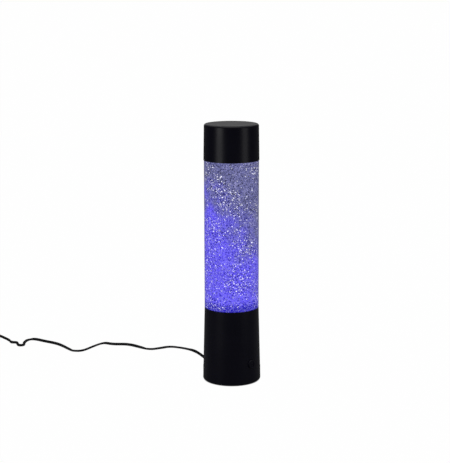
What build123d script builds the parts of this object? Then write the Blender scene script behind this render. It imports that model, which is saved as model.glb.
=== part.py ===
from build123d import *
from math import cos, hypot, pi, radians, sin, sqrt, tan
import os

# A glitter lamp: a clear bottle of glittering liquid between a black cap and a black base.
# In the base a small motor turns two magnets, and they turn an impeller inside the bottle.
# Lengths are in millimetres and angles in degrees. +Z is up and the lamp stands on z = 0.
# The origin is under the middle of the base. The front of the lamp faces -Y.

# Overall sizes
lamp_height = 380.0
base_height = 110.0
cap_height = 52.5
tube_radius = 39.5
base_rim_lip = 0.35
base_flare = 2.8
cap_rim_lip = 0.95
cap_draft = 0.8

# Fits
slip = 0.3
snug = 0.05
screw_fit = 0.02
overrun = 1.0
near = 0.01
turn = 360.0

# Which way things face, as angles from +X towards +Y
button_bearing = -47.0
cord_bearing = 114.0

# Base shell
housing_wall = 2.4
base_foot_round = 1.2
base_rim_round = 0.35
ledge_thickness = 6.0
ledge_width = 3.6
column_count = 4
column_radius = 4.2
column_setback = 4.45
column_height = 17.0
column_rib_thickness = 3.0

# Base plate and feet
foot_stand_out = 0.8
foot_recess = 1.0
foot_radius = 5.0
foot_setback = 10.95
foot_count = 4
foot_edge_round = 0.5
plate_thickness = 2.5
rail_depth = 5.6
rail_width = 4.0
rail_height = 34.0
rail_grip = 1.4

# Screws
plate_screw_radius = 1.45
plate_screw_length = 12.0
plate_screw_head_radius = 2.7
plate_screw_head_height = 1.6
deck_screw_radius = 1.1
deck_screw_length = 7.5
small_screw_radius = 0.98
small_screw_length = 3.8
small_screw_head_radius = 1.9
small_screw_head_height = 1.2
deck_screw_count = 3
recess_width_share = 0.28
recess_length_share = 1.3
recess_depth_share = 0.55
head_round_share = 0.35

# Bottle
bottle_wall = 2.2
bottle_floor = 2.5
spigot_depth = 24.0
flare_drop = 1.5
flare_rise = 1.4
shoulder_inset = 2.6
shoulder_height = 12.0
shoulder_rise = 11.0
shoulder_bulge = 4.0
neck_radius = 14.0
neck_height = 12.0
neck_wall = 1.8
pin_boss_radius = 4.5
pin_boss_height = 0.8
liquid_film = 0.05
air_gap = 3.0

# Bottle closure
closure_wall = 1.8
closure_height = 13.0
closure_groove_count = 24
closure_groove_radius = 0.7
gasket_thickness = 1.0

# Top cap
cap_wall = 2.0
cap_top_thickness = 2.4
cap_edge_round = 3.0
cap_rim_round = 0.35
cap_rib_count = 6
cap_rib_width = 1.6
cap_rib_setback = 3.0

# Light window under the bottle
window_thickness = 2.0
window_skirt_height = 3.6
window_gap = 0.4

# Drive deck
deck_thickness = 3.0
deck_rib_height = 2.0
deck_rib_radius = 18.0
deck_rib_width = 1.8
wire_slot_length = 9.0
wire_slot_width = 4.4

# Lamp board
board_thickness = 1.6
lamp_board_gap = 2.1
lamp_board_bore_radius = 14.5
lamp_count = 12
lamp_size = 5.0
lamp_height_above_board = 1.6
lamp_window_radius = 2.0
lamp_window_depth = 0.3
lamp_screw_setback = 3.0
lamp_screw_count = 3

# Motor
motor_radius = 12.2
motor_height = 12.3
motor_wall = 0.9
motor_boss_radius = 3.1
motor_boss_height = 1.6
motor_screw_spacing = 17.0
motor_screw_count = 2
motor_shaft_radius = 1.0
end_cap_thickness = 2.4
end_cap_stand_out = 0.7
end_cap_boss_radius = 3.0
end_cap_boss_height = 1.2
armature_radius = 8.6
armature_height = 6.4
armature_slot_count = 3
armature_slot_width = 2.6
armature_slot_depth = 3.2
armature_hub_radius = 2.6
stator_magnet_thickness = 1.9
stator_magnet_height = 8.0
stator_magnet_gap = 5.0
terminal_width = 2.0
terminal_thickness = 0.5
terminal_length = 3.2
terminal_spacing = 12.0

# Magnet carrier
carrier_radius = 12.0
carrier_thickness = 4.0
carrier_hub_radius = 3.6
carrier_hub_drop = 3.0
magnet_radius = 4.0
magnet_thickness = 3.0
magnet_circle_radius = 7.3
magnet_count = 2

# Impeller in the bottle
impeller_radius = 15.0
impeller_disc_thickness = 4.0
impeller_hub_radius = 3.8
blade_height = 6.0
blade_count = 6
blade_thickness = 1.4
blade_sweep = 38.0
pin_radius = 1.5
pin_depth = 2.0
retainer_radius = 3.4
retainer_thickness = 1.2
swirl_clearance = 2.5

# Push button and its switch
button_height = 30.4
button_radius = 6.3
button_gap = 0.4
button_stand_out = 1.6
button_edge_round = 0.8
button_flange_radius = 7.9
button_flange_thickness = 1.2
button_dish_radius = 4.4
button_dish_depth = 0.35
button_travel = 1.5
switch_size = 8.4
switch_depth = 6.5
plunger_size = 3.0
plunger_stand_out = 2.4
plunger_depth = 4.2

# Control board
board_column_gap = 3.5
control_board_height = 40.0
chip_length = 5.0
chip_width = 4.0
chip_thickness = 1.5
chip_lead_length = 1.0
chip_lead_width = 0.4
chip_lead_thickness = 0.5
chip_lead_count = 4
chip_drop = 6.0
plug_socket_width = 5.0
plug_socket_height = 4.5
plug_socket_depth = 4.0
plug_socket_count = 3
plug_socket_height_on_board = 10.0

# Wires in the base
wire_radius = 0.6
wire_spacing = 2.0
wire_bend = 4.0

# Supply cord: a flat twin lead
cord_width = 3.6
cord_thickness = 1.7
cord_exit_height = 8.5
grommet_flange_width = 9.0
grommet_flange_height = 6.4
grommet_flange_thickness = 1.6
grommet_neck_width = 6.6
grommet_neck_height = 4.4
relief_length = 9.0
relief_root_width = 6.0
relief_root_height = 4.0
relief_tip_width = 4.6
relief_tip_height = 2.7
exit_run = 9.0
arc_share = 0.45

# Coil of the cord that is put away, and its tie
coil_centre_x = -429.0
coil_centre_y = 228.0
coil_outer_radius = 28.3
coil_pitch = 4.2
coil_start_bearing = 30.0
coil_end_bearing = 180.0
coil_whole_turns = 6
coil_steps = 26
coil_lead_in = 13.0
coil_end_run = 10.0
heading_probe_share = 0.001
checks_per_turn = 36
tie_thickness = 0.6
tie_gap = 0.2
tie_width = 3.0
tie_bearing = 262.0

# Plug on the end of the cord
plug_relief_length = 14.0
plug_relief_root_width = 8.0
plug_relief_root_height = 5.6
grip_length = 24.0
grip_width = 15.6
grip_thickness = 8.0
grip_round = 1.6
grip_groove_count = 5
grip_groove_spacing = 2.4
grip_groove_width = 0.9
grip_groove_depth = 0.5
grip_groove_setback = 5.6
grip_shell_seat = 6.0
plug_shell_width = 12.0
plug_shell_height = 4.5
plug_shell_length = 11.8
plug_shell_wall = 0.3
plug_window_size = 2.2
plug_window_spacing = 5.0
plug_window_setback = 5.2
tongue_width = 11.0
tongue_thickness = 1.9
tongue_setback = 1.0
contact_count = 4
contact_spacing = 2.2
contact_width = 1.1
contact_length = 7.0
contact_depth = 0.25

# Levels, worked out from the sizes above
stand = foot_stand_out
plate_top = stand + plate_thickness
bottle_bottom = base_height - spigot_depth
bottle_floor_top = bottle_bottom + bottle_floor
window_top = bottle_bottom - window_gap
ledge_top = window_top - window_thickness - window_skirt_height
ledge_bottom = ledge_top - ledge_thickness
deck_top = ledge_bottom
deck_bottom = deck_top - deck_thickness
lamp_board_top = deck_top + board_thickness
motor_bottom = deck_bottom - motor_height
carrier_top = window_top - window_thickness - window_gap
carrier_bottom = carrier_top - carrier_thickness
impeller_bottom = bottle_floor_top + pin_boss_height + slip
impeller_disc_top = impeller_bottom + impeller_disc_thickness
impeller_top = impeller_disc_top + blade_height
pin_bottom = bottle_floor_top + pin_boss_height - pin_depth
retainer_bottom = impeller_top + slip
pin_top = retainer_bottom + retainer_thickness + slip
cap_rim = lamp_height - cap_height
shoulder_foot = cap_rim + shoulder_height
neck_foot = shoulder_foot + shoulder_rise
neck_top = neck_foot + neck_height

# Radii that follow from the sizes above
base_rim_radius = tube_radius + base_rim_lip
base_foot_radius = base_rim_radius + base_flare
cap_rim_radius = tube_radius + cap_rim_lip
cap_top_radius = cap_rim_radius - cap_draft
plate_radius = base_foot_radius - housing_wall - slip
foot_circle_radius = plate_radius - foot_setback
column_circle_radius = base_foot_radius - housing_wall - column_setback
spigot_radius = base_rim_radius - housing_wall - slip
spigot_bore = spigot_radius - bottle_wall
tube_bore = tube_radius - bottle_wall
shoulder_radius = tube_radius - shoulder_inset
shoulder_bore = shoulder_radius - bottle_wall
neck_bore = neck_radius - neck_wall

os.makedirs("parts", exist_ok=True)


def housing_radius(height):
    """The outer radius of the base shell at a height."""
    share = (height - stand) / (base_height - stand)
    return base_foot_radius + (base_rim_radius - base_foot_radius) * share


def cap_radius(height):
    """The outer radius of the cap at a height."""
    share = (height - cap_rim) / cap_height
    return cap_rim_radius + (cap_top_radius - cap_rim_radius) * share


ledge_bore_radius = housing_radius(ledge_top) - housing_wall - ledge_width
deck_screw_circle_radius = ledge_bore_radius + ledge_width / 2
lamp_board_radius = ledge_bore_radius - lamp_board_gap
lamp_circle_radius = (lamp_board_bore_radius + lamp_board_radius) / 2
lamp_screw_circle_radius = lamp_board_bore_radius + lamp_screw_setback


def heading(bearing):
    """The level unit vector at an angle from +X."""
    return Vector(cos(radians(bearing)), sin(radians(bearing)), 0)


def level_plane(height, bearing):
    """The level plane at a height, its X axis turned to a bearing."""
    return Plane(origin=(0, 0, height), x_dir=heading(bearing), z_dir=(0, 0, 1))


def downward_plane(height):
    """The level plane at a height that faces down, its X axis turned to the button's bearing."""
    return Plane(origin=(0, 0, height), x_dir=heading(button_bearing), z_dir=(0, 0, -1))


def facing_plane(bearing, height, distance):
    """The upright plane that faces outwards at a bearing, with X along the wall and Y up."""
    out = heading(bearing)
    origin = out * distance + Vector(0, 0, height)
    return Plane(origin=origin, x_dir=heading(bearing + turn / 4), z_dir=out)


def circles_at(solid, height, radius):
    """The full circles of a radius at a height."""
    return [
        edge
        for edge in solid.edges().filter_by(GeomType.CIRCLE)
        if abs(edge.radius - radius) < near and abs(edge.arc_center.Z - height) < near
    ]


def screw(shank_radius, shank_length, head_radius, head_height):
    """A pan-head screw: its head is below z = 0 and its shank stands up from there."""
    with BuildPart() as one:
        with BuildSketch():
            Circle(head_radius)
        extrude(amount=-head_height)
        fillet(circles_at(one, -head_height, head_radius), head_height * head_round_share)
        with BuildSketch():
            Circle(shank_radius)
        extrude(amount=shank_length)
        with BuildSketch(Plane.XY.offset(-head_height)):
            Rectangle(head_radius * recess_length_share, head_radius * recess_width_share)
            Rectangle(head_radius * recess_width_share, head_radius * recess_length_share)
        extrude(amount=head_height * recess_depth_share, mode=Mode.SUBTRACT)
    return one.part


def wall_bead(foot_radius, foot_height, top_radius, top_height, bulge):
    """The middle point of an arc that bulges outwards between two points of a profile."""
    run = top_radius - foot_radius
    rise = top_height - foot_height
    length = hypot(run, rise)
    return (
        (foot_radius + top_radius) / 2 + bulge * rise / length,
        (foot_height + top_height) / 2 - bulge * run / length,
    )


# Base shell: a slightly conical housing with an inner ledge and four screw columns
with BuildPart() as base_shell:
    with BuildSketch(Plane.XZ):
        with BuildLine():
            Polyline(
                (base_foot_radius - housing_wall, stand),
                (base_foot_radius, stand),
                (base_rim_radius, base_height),
                (base_rim_radius - housing_wall, base_height),
                close=True,
            )
        make_face()
    revolve(axis=Axis.Z)
    fillet(circles_at(base_shell, stand, base_foot_radius), base_foot_round)
    fillet(circles_at(base_shell, base_height, base_rim_radius), base_rim_round)
    with BuildSketch(Plane.XY.offset(ledge_bottom)):
        Circle(housing_radius(ledge_top) - housing_wall / 2)
        Circle(ledge_bore_radius, mode=Mode.SUBTRACT)
    extrude(amount=ledge_thickness)
    with BuildSketch(level_plane(plate_top, button_bearing)):
        with PolarLocations(column_circle_radius, column_count, turn / column_count / 2):
            Circle(column_radius)
            with Locations((column_radius / 2 + housing_wall / 2, 0)):
                Rectangle(column_radius + housing_wall, column_rib_thickness)
    extrude(amount=column_height)
    with BuildSketch(level_plane(plate_top, button_bearing)):
        with PolarLocations(column_circle_radius, column_count, turn / column_count / 2):
            Circle(plate_screw_radius + screw_fit)
    extrude(amount=plate_screw_length, mode=Mode.SUBTRACT)
    with BuildSketch(level_plane(ledge_bottom, button_bearing)):
        with PolarLocations(deck_screw_circle_radius, deck_screw_count, turn / deck_screw_count / 2):
            Circle(deck_screw_radius + screw_fit)
    extrude(amount=deck_screw_length - deck_thickness + slip, mode=Mode.SUBTRACT)
    with BuildSketch(facing_plane(button_bearing, button_height, ledge_bore_radius)):
        Circle(button_radius + button_gap)
    extrude(amount=base_foot_radius, mode=Mode.SUBTRACT)
    with BuildSketch(facing_plane(cord_bearing, cord_exit_height, ledge_bore_radius)):
        SlotOverall(grommet_neck_width + 2 * snug, grommet_neck_height + 2 * snug)
    extrude(amount=base_foot_radius, mode=Mode.SUBTRACT)
base_shell.part.label = "base_shell"
export_step(base_shell.part, "parts/base_shell.step")

# Base plate: it closes the shell from below and holds the control board in two slotted rails
switch_face = (
    sqrt((housing_radius(button_height) - housing_wall) ** 2 - button_flange_radius**2)
    - slip
    - button_flange_thickness
    - plunger_stand_out
)
board_front = switch_face - switch_depth
board_back = board_front - board_thickness
board_middle = (board_front + board_back) / 2
column_aside = column_circle_radius * sin(radians(turn / column_count / 2)) - column_radius
control_board_width = 2 * (column_aside - board_column_gap - rail_width + rail_grip)
plug_socket_spacing = (control_board_width - 2 * rail_grip) / plug_socket_count
with BuildPart() as base_plate:
    with BuildSketch(Plane.XY.offset(stand)):
        Circle(plate_radius)
    extrude(amount=plate_thickness)
    with BuildSketch(level_plane(plate_top, button_bearing)):
        with Locations((board_middle, 0)):
            with GridLocations(rail_depth, control_board_width + rail_width - 2 * rail_grip, 1, 2):
                Rectangle(rail_depth, rail_width)
            Rectangle(
                board_thickness + 2 * slip,
                control_board_width + 2 * slip,
                mode=Mode.SUBTRACT,
            )
    extrude(amount=rail_height)
    with BuildSketch(level_plane(stand, button_bearing)):
        with PolarLocations(foot_circle_radius, foot_count):
            Circle(foot_radius + snug)
    extrude(amount=foot_recess, mode=Mode.SUBTRACT)
    with BuildSketch(level_plane(stand, button_bearing)):
        with PolarLocations(column_circle_radius, column_count, turn / column_count / 2):
            Circle(plate_screw_head_radius + slip)
    extrude(amount=plate_screw_head_height, mode=Mode.SUBTRACT)
    with BuildSketch(level_plane(stand, button_bearing)):
        with PolarLocations(column_circle_radius, column_count, turn / column_count / 2):
            Circle(plate_screw_radius + snug)
    extrude(amount=plate_thickness, mode=Mode.SUBTRACT)
base_plate.part.label = "base_plate"
export_step(base_plate.part, "parts/base_plate.step")

# Rubber feet, pressed into round recesses of the plate
with BuildPart() as rubber_feet:
    with BuildSketch(level_plane(0, button_bearing)):
        with PolarLocations(foot_circle_radius, foot_count):
            Circle(foot_radius)
    extrude(amount=foot_stand_out + foot_recess)
    fillet(rubber_feet.edges().group_by(Axis.Z)[0], foot_edge_round)
rubber_feet.part.label = "rubber_feet"
export_step(rubber_feet.part, "parts/rubber_feet.step")

# Screws that hold the plate to the shell's columns
with BuildPart() as base_plate_screws:
    with Locations(level_plane(stand + plate_screw_head_height, button_bearing)):
        with PolarLocations(column_circle_radius, column_count, turn / column_count / 2):
            add(
                screw(
                    plate_screw_radius,
                    plate_screw_length,
                    plate_screw_head_radius,
                    plate_screw_head_height,
                )
            )
base_plate_screws.part.label = "base_plate_screws"
export_step(base_plate_screws.part, "parts/base_plate_screws.step")

# Drive deck: the plate under the ledge that carries the motor and the lamp board
deck_radius = housing_radius(deck_top) - housing_wall - slip
wire_slot_radius = board_back - wire_slot_width
with BuildPart() as drive_deck:
    with BuildSketch(level_plane(deck_bottom, button_bearing)):
        Circle(deck_radius)
        with PolarLocations(column_circle_radius, column_count, turn / column_count / 2):
            Circle(column_radius + 2 * slip, mode=Mode.SUBTRACT)
            with Locations((column_radius, 0)):
                Rectangle(2 * column_radius, 2 * (column_radius + 2 * slip), mode=Mode.SUBTRACT)
    extrude(amount=deck_thickness)
    with BuildSketch(Plane.XY.offset(deck_bottom)):
        Circle(deck_rib_radius + deck_rib_width)
        Circle(deck_rib_radius, mode=Mode.SUBTRACT)
    extrude(amount=-deck_rib_height)
    with BuildSketch(level_plane(deck_bottom, button_bearing)):
        Circle(motor_boss_radius + snug)
        with PolarLocations(motor_screw_spacing / 2, motor_screw_count):
            Circle(small_screw_radius + snug)
        with PolarLocations(deck_screw_circle_radius, deck_screw_count, turn / deck_screw_count / 2):
            Circle(deck_screw_radius + snug)
        with PolarLocations(lamp_screw_circle_radius, lamp_screw_count, turn / 4):
            Circle(small_screw_radius + screw_fit)
        with Locations((wire_slot_radius, 0)):
            SlotOverall(wire_slot_length, wire_slot_width, rotation=turn / 4)
    extrude(amount=deck_thickness, mode=Mode.SUBTRACT)
drive_deck.part.label = "drive_deck"
export_step(drive_deck.part, "parts/drive_deck.step")

# Screws that pull the deck up against the ledge
with BuildPart() as deck_screws:
    with Locations(level_plane(deck_bottom, button_bearing)):
        with PolarLocations(deck_screw_circle_radius, deck_screw_count, turn / deck_screw_count / 2):
            add(
                screw(
                    deck_screw_radius,
                    deck_screw_length,
                    small_screw_head_radius,
                    small_screw_head_height,
                )
            )
deck_screws.part.label = "deck_screws"
export_step(deck_screws.part, "parts/deck_screws.step")

# Lamp board: a ring-shaped board with twelve colour-changing lamps
with BuildPart() as lamp_board:
    with BuildSketch(level_plane(deck_top, button_bearing)):
        Circle(lamp_board_radius)
        Circle(lamp_board_bore_radius, mode=Mode.SUBTRACT)
        with PolarLocations(lamp_screw_circle_radius, lamp_screw_count, turn / 4):
            Circle(small_screw_radius + snug, mode=Mode.SUBTRACT)
    extrude(amount=board_thickness)
lamp_board.part.label = "lamp_board"
export_step(lamp_board.part, "parts/lamp_board.step")

lamp_start = turn / lamp_count / 2
with BuildPart() as light_emitters:
    with BuildSketch(level_plane(lamp_board_top, button_bearing)):
        with PolarLocations(lamp_circle_radius, lamp_count, lamp_start):
            Rectangle(lamp_size, lamp_size)
    extrude(amount=lamp_height_above_board)
    with BuildSketch(level_plane(lamp_board_top + lamp_height_above_board, button_bearing)):
        with PolarLocations(lamp_circle_radius, lamp_count, lamp_start):
            Circle(lamp_window_radius)
    extrude(amount=-lamp_window_depth, mode=Mode.SUBTRACT)
light_emitters.part.label = "light_emitters"
export_step(light_emitters.part, "parts/light_emitters.step")

# The board's screws stand head up, so each one is turned over
with BuildPart() as lamp_board_screws:
    with Locations(downward_plane(lamp_board_top)):
        with PolarLocations(lamp_screw_circle_radius, lamp_screw_count, -turn / 4):
            add(
                screw(
                    small_screw_radius,
                    small_screw_length,
                    small_screw_head_radius,
                    small_screw_head_height,
                )
            )
lamp_board_screws.part.label = "lamp_board_screws"
export_step(lamp_board_screws.part, "parts/lamp_board_screws.step")

# Light window: a clear lid that stands on the ledge over the lamps and under the bottle
with BuildPart() as light_window:
    with BuildSketch(Plane.XY.offset(ledge_top)):
        Circle(spigot_radius)
    extrude(amount=window_skirt_height + window_thickness)
    with BuildSketch(Plane.XY.offset(ledge_top)):
        Circle(spigot_radius - window_thickness)
    extrude(amount=window_skirt_height, mode=Mode.SUBTRACT)
light_window.part.label = "light_window"
export_step(light_window.part, "parts/light_window.step")

# Motor: a drawn can with a bearing boss, closed by a plastic end cap with two terminals
motor_bore = motor_radius - motor_wall
motor_screw_engagement = small_screw_length - deck_thickness
with BuildPart() as motor_can:
    with BuildSketch(Plane.XY.offset(motor_bottom)):
        Circle(motor_radius)
    extrude(amount=motor_height)
    fillet(circles_at(motor_can, deck_bottom, motor_radius), motor_wall)
    with BuildSketch(Plane.XY.offset(deck_bottom)):
        Circle(motor_boss_radius)
    extrude(amount=motor_boss_height)
    with BuildSketch(Plane.XY.offset(motor_bottom)):
        Circle(motor_bore)
    extrude(amount=motor_height - motor_wall - motor_screw_engagement, mode=Mode.SUBTRACT)
    with BuildSketch(level_plane(motor_bottom, button_bearing)):
        Circle(motor_shaft_radius + snug)
    extrude(amount=motor_height + motor_boss_height, mode=Mode.SUBTRACT)
    with BuildSketch(level_plane(deck_bottom, button_bearing)):
        with PolarLocations(motor_screw_spacing / 2, motor_screw_count):
            Circle(small_screw_radius + screw_fit)
    extrude(amount=-motor_screw_engagement, mode=Mode.SUBTRACT)
motor_can.part.label = "motor_can"
export_step(motor_can.part, "parts/motor_can.step")

end_cap_bottom = motor_bottom - end_cap_stand_out
with BuildPart() as motor_end_cap:
    with BuildSketch(Plane.XY.offset(end_cap_bottom)):
        Circle(motor_bore - snug)
    extrude(amount=end_cap_thickness)
    with BuildSketch(Plane.XY.offset(end_cap_bottom)):
        Circle(end_cap_boss_radius)
    extrude(amount=-end_cap_boss_height)
    with BuildSketch(Plane.XY.offset(end_cap_bottom + end_cap_thickness)):
        Circle(motor_shaft_radius + snug)
    extrude(amount=-end_cap_thickness, mode=Mode.SUBTRACT)
    with BuildSketch(level_plane(end_cap_bottom, button_bearing)):
        with GridLocations(terminal_spacing, terminal_spacing, 1, 2):
            Rectangle(terminal_width + 2 * screw_fit, terminal_thickness + 2 * screw_fit)
    extrude(amount=end_cap_thickness, mode=Mode.SUBTRACT)
motor_end_cap.part.label = "motor_end_cap"
export_step(motor_end_cap.part, "parts/motor_end_cap.step")

with BuildPart() as motor_terminals:
    with BuildSketch(level_plane(end_cap_bottom - terminal_length, button_bearing)):
        with GridLocations(terminal_spacing, terminal_spacing, 1, 2):
            Rectangle(terminal_width, terminal_thickness)
    extrude(amount=terminal_length + end_cap_thickness)
motor_terminals.part.label = "motor_terminals"
export_step(motor_terminals.part, "parts/motor_terminals.step")

with BuildPart() as motor_screws:
    with Locations(downward_plane(deck_top)):
        with PolarLocations(motor_screw_spacing / 2, motor_screw_count):
            add(
                screw(
                    small_screw_radius,
                    small_screw_length,
                    small_screw_head_radius,
                    small_screw_head_height,
                )
            )
motor_screws.part.label = "motor_screws"
export_step(motor_screws.part, "parts/motor_screws.step")

# Two curved magnets that stand inside the can, and the wound armature between them
cavity_top = deck_bottom - motor_wall - motor_screw_engagement
cavity_bottom = end_cap_bottom + end_cap_thickness
stator_bottom = (cavity_bottom + cavity_top - stator_magnet_height) / 2
with BuildPart() as stator_magnets:
    with BuildSketch(level_plane(cavity_bottom, button_bearing)):
        Circle(motor_bore - snug)
        Circle(motor_bore - snug - stator_magnet_thickness, mode=Mode.SUBTRACT)
        Rectangle(2 * motor_radius, stator_magnet_gap, mode=Mode.SUBTRACT)
    extrude(amount=stator_magnet_height)
stator_magnets.part.label = "stator_magnets"
export_step(stator_magnets.part, "parts/stator_magnets.step")

armature_bottom = (cavity_bottom + cavity_top - armature_height) / 2
with BuildPart() as motor_armature:
    with BuildSketch(level_plane(armature_bottom, button_bearing)):
        Circle(armature_radius)
        with PolarLocations(armature_radius, armature_slot_count):
            Rectangle(2 * armature_slot_depth, armature_slot_width, mode=Mode.SUBTRACT)
        Circle(armature_hub_radius)
        Circle(motor_shaft_radius + screw_fit, mode=Mode.SUBTRACT)
    extrude(amount=armature_height)
motor_armature.part.label = "motor_armature"
export_step(motor_armature.part, "parts/motor_armature.step")

with BuildPart() as motor_shaft:
    with BuildSketch(Plane.XY.offset(end_cap_bottom + slip)):
        Circle(motor_shaft_radius)
    extrude(amount=carrier_top - end_cap_bottom - 2 * slip)
motor_shaft.part.label = "motor_shaft"
export_step(motor_shaft.part, "parts/motor_shaft.step")

# Magnet carrier on the motor shaft
with BuildPart() as magnet_carrier:
    with BuildSketch(Plane.XY.offset(carrier_bottom)):
        Circle(carrier_radius)
    extrude(amount=carrier_thickness)
    with BuildSketch(Plane.XY.offset(carrier_bottom)):
        Circle(carrier_hub_radius)
    extrude(amount=-carrier_hub_drop)
    with BuildSketch(Plane.XY.offset(carrier_top)):
        with PolarLocations(magnet_circle_radius, magnet_count):
            Circle(magnet_radius + screw_fit)
    extrude(amount=-magnet_thickness, mode=Mode.SUBTRACT)
    with BuildSketch(Plane.XY.offset(carrier_bottom - carrier_hub_drop)):
        Circle(motor_shaft_radius + screw_fit)
    extrude(amount=carrier_hub_drop + carrier_thickness, mode=Mode.SUBTRACT)
magnet_carrier.part.label = "magnet_carrier"
export_step(magnet_carrier.part, "parts/magnet_carrier.step")

with BuildPart() as drive_magnets:
    with BuildSketch(Plane.XY.offset(carrier_top)):
        with PolarLocations(magnet_circle_radius, magnet_count):
            Circle(magnet_radius)
    extrude(amount=-magnet_thickness)
drive_magnets.part.label = "drive_magnets"
export_step(drive_magnets.part, "parts/drive_magnets.step")

# Bottle: its spigot sits in the base's rim, its shoulder and neck are under the cap
with BuildPart() as bottle:
    with BuildSketch(Plane.XZ):
        with BuildLine():
            Polyline(
                (neck_radius, neck_foot),
                (neck_radius, neck_top),
                (0, neck_top),
                (0, bottle_bottom),
                (spigot_radius, bottle_bottom),
                (spigot_radius, base_height),
                (tube_radius, base_height),
                (tube_radius, cap_rim),
                (shoulder_radius, cap_rim),
                (shoulder_radius, shoulder_foot),
            )
            ThreePointArc(
                (shoulder_radius, shoulder_foot),
                wall_bead(shoulder_radius, shoulder_foot, neck_radius, neck_foot, shoulder_bulge),
                (neck_radius, neck_foot),
            )
        make_face()
    revolve(axis=Axis.Z)
    with BuildSketch(Plane.XZ):
        with BuildLine():
            Polyline(
                (neck_bore, neck_foot - neck_wall),
                (neck_bore, neck_top),
                (0, neck_top),
                (0, bottle_floor_top),
                (spigot_bore, bottle_floor_top),
                (spigot_bore, base_height - flare_drop),
                (tube_bore, base_height + flare_rise),
                (tube_bore, cap_rim - flare_rise),
                (shoulder_bore, cap_rim + flare_drop),
                (shoulder_bore, shoulder_foot - bottle_wall / 2),
            )
            ThreePointArc(
                (shoulder_bore, shoulder_foot - bottle_wall / 2),
                wall_bead(
                    shoulder_bore,
                    shoulder_foot - bottle_wall / 2,
                    neck_bore,
                    neck_foot - neck_wall,
                    shoulder_bulge,
                ),
                (neck_bore, neck_foot - neck_wall),
            )
        make_face()
    revolve(axis=Axis.Z, mode=Mode.SUBTRACT)
    with BuildSketch(Plane.XY.offset(bottle_floor_top)):
        Circle(pin_boss_radius)
    extrude(amount=pin_boss_height)
    with BuildSketch(Plane.XY.offset(pin_bottom)):
        Circle(pin_radius + screw_fit)
    extrude(amount=pin_depth, mode=Mode.SUBTRACT)
bottle.part.label = "bottle"
export_step(bottle.part, "parts/bottle.step")

# The glittering liquid fills the bottle, apart from the round space where the impeller turns
fill_top = shoulder_foot - bottle_wall / 2 - air_gap
swirl_radius = impeller_radius + swirl_clearance
swirl_top = pin_top + slip
with BuildPart() as glitter_liquid:
    with BuildSketch(Plane.XZ):
        with BuildLine():
            Polyline(
                (0, swirl_top),
                (swirl_radius, swirl_top),
                (swirl_radius, bottle_floor_top + liquid_film),
                (spigot_bore - liquid_film, bottle_floor_top + liquid_film),
                (spigot_bore - liquid_film, base_height - flare_drop),
                (tube_bore - liquid_film, base_height + flare_rise),
                (tube_bore - liquid_film, cap_rim - flare_rise),
                (shoulder_bore - liquid_film, cap_rim + flare_drop),
                (shoulder_bore - liquid_film, fill_top),
                (0, fill_top),
                close=True,
            )
        make_face()
    revolve(axis=Axis.Z)
glitter_liquid.part.label = "glitter_liquid"
export_step(glitter_liquid.part, "parts/glitter_liquid.step")

# Impeller: a disc with two magnets under six curved blades, turning on a fixed pin
with BuildPart() as impeller:
    with BuildSketch(Plane.XY.offset(impeller_bottom)):
        Circle(impeller_radius)
    extrude(amount=impeller_disc_thickness)
    fillet(circles_at(impeller, impeller_disc_top, impeller_radius), blade_thickness / 2)
    blade_end_radius = impeller_radius - blade_thickness
    for number in range(blade_count):
        root = turn * number / blade_count
        with BuildSketch(Plane.XY.offset(impeller_disc_top)):
            with BuildLine():
                ThreePointArc(
                    heading(root) * impeller_hub_radius / 2,
                    heading(root + blade_sweep / 4) * (impeller_hub_radius + blade_end_radius) / 2,
                    heading(root + blade_sweep) * blade_end_radius,
                )
            trace(line_width=blade_thickness)
        extrude(amount=blade_height)
    with BuildSketch(Plane.XY.offset(impeller_disc_top)):
        Circle(impeller_hub_radius)
    extrude(amount=blade_height)
    with BuildSketch(Plane.XY.offset(impeller_bottom)):
        with PolarLocations(magnet_circle_radius, magnet_count):
            Circle(magnet_radius + screw_fit)
    extrude(amount=magnet_thickness, mode=Mode.SUBTRACT)
    with BuildSketch(Plane.XY.offset(impeller_bottom)):
        Circle(pin_radius + snug)
    extrude(amount=impeller_disc_thickness + blade_height, mode=Mode.SUBTRACT)
impeller.part.label = "impeller"
export_step(impeller.part, "parts/impeller.step")

with BuildPart() as impeller_magnets:
    with BuildSketch(Plane.XY.offset(impeller_bottom)):
        with PolarLocations(magnet_circle_radius, magnet_count):
            Circle(magnet_radius)
    extrude(amount=magnet_thickness)
impeller_magnets.part.label = "impeller_magnets"
export_step(impeller_magnets.part, "parts/impeller_magnets.step")

with BuildPart() as impeller_pin:
    with BuildSketch(Plane.XY.offset(pin_bottom)):
        Circle(pin_radius)
    extrude(amount=pin_top - pin_bottom)
    fillet(circles_at(impeller_pin, pin_top, pin_radius), slip)
impeller_pin.part.label = "impeller_pin"
export_step(impeller_pin.part, "parts/impeller_pin.step")

with BuildPart() as pin_retainer:
    with BuildSketch(Plane.XY.offset(retainer_bottom)):
        Circle(retainer_radius)
        Circle(pin_radius + screw_fit, mode=Mode.SUBTRACT)
    extrude(amount=retainer_thickness)
pin_retainer.part.label = "pin_retainer"
export_step(pin_retainer.part, "parts/pin_retainer.step")

# Screw closure on the bottle's neck, with its gasket
closure_bore = neck_radius + slip
closure_radius = closure_bore + closure_wall
gasket_top = neck_top + gasket_thickness
closure_top = gasket_top + closure_wall
with BuildPart() as bottle_closure:
    with BuildSketch(Plane.XY.offset(closure_top)):
        Circle(closure_radius)
        with PolarLocations(closure_radius, closure_groove_count):
            Circle(closure_groove_radius, mode=Mode.SUBTRACT)
    extrude(amount=-closure_height)
    with BuildSketch(Plane.XY.offset(gasket_top)):
        Circle(closure_bore)
    extrude(amount=-closure_height, mode=Mode.SUBTRACT)
bottle_closure.part.label = "bottle_closure"
export_step(bottle_closure.part, "parts/bottle_closure.step")

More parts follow.
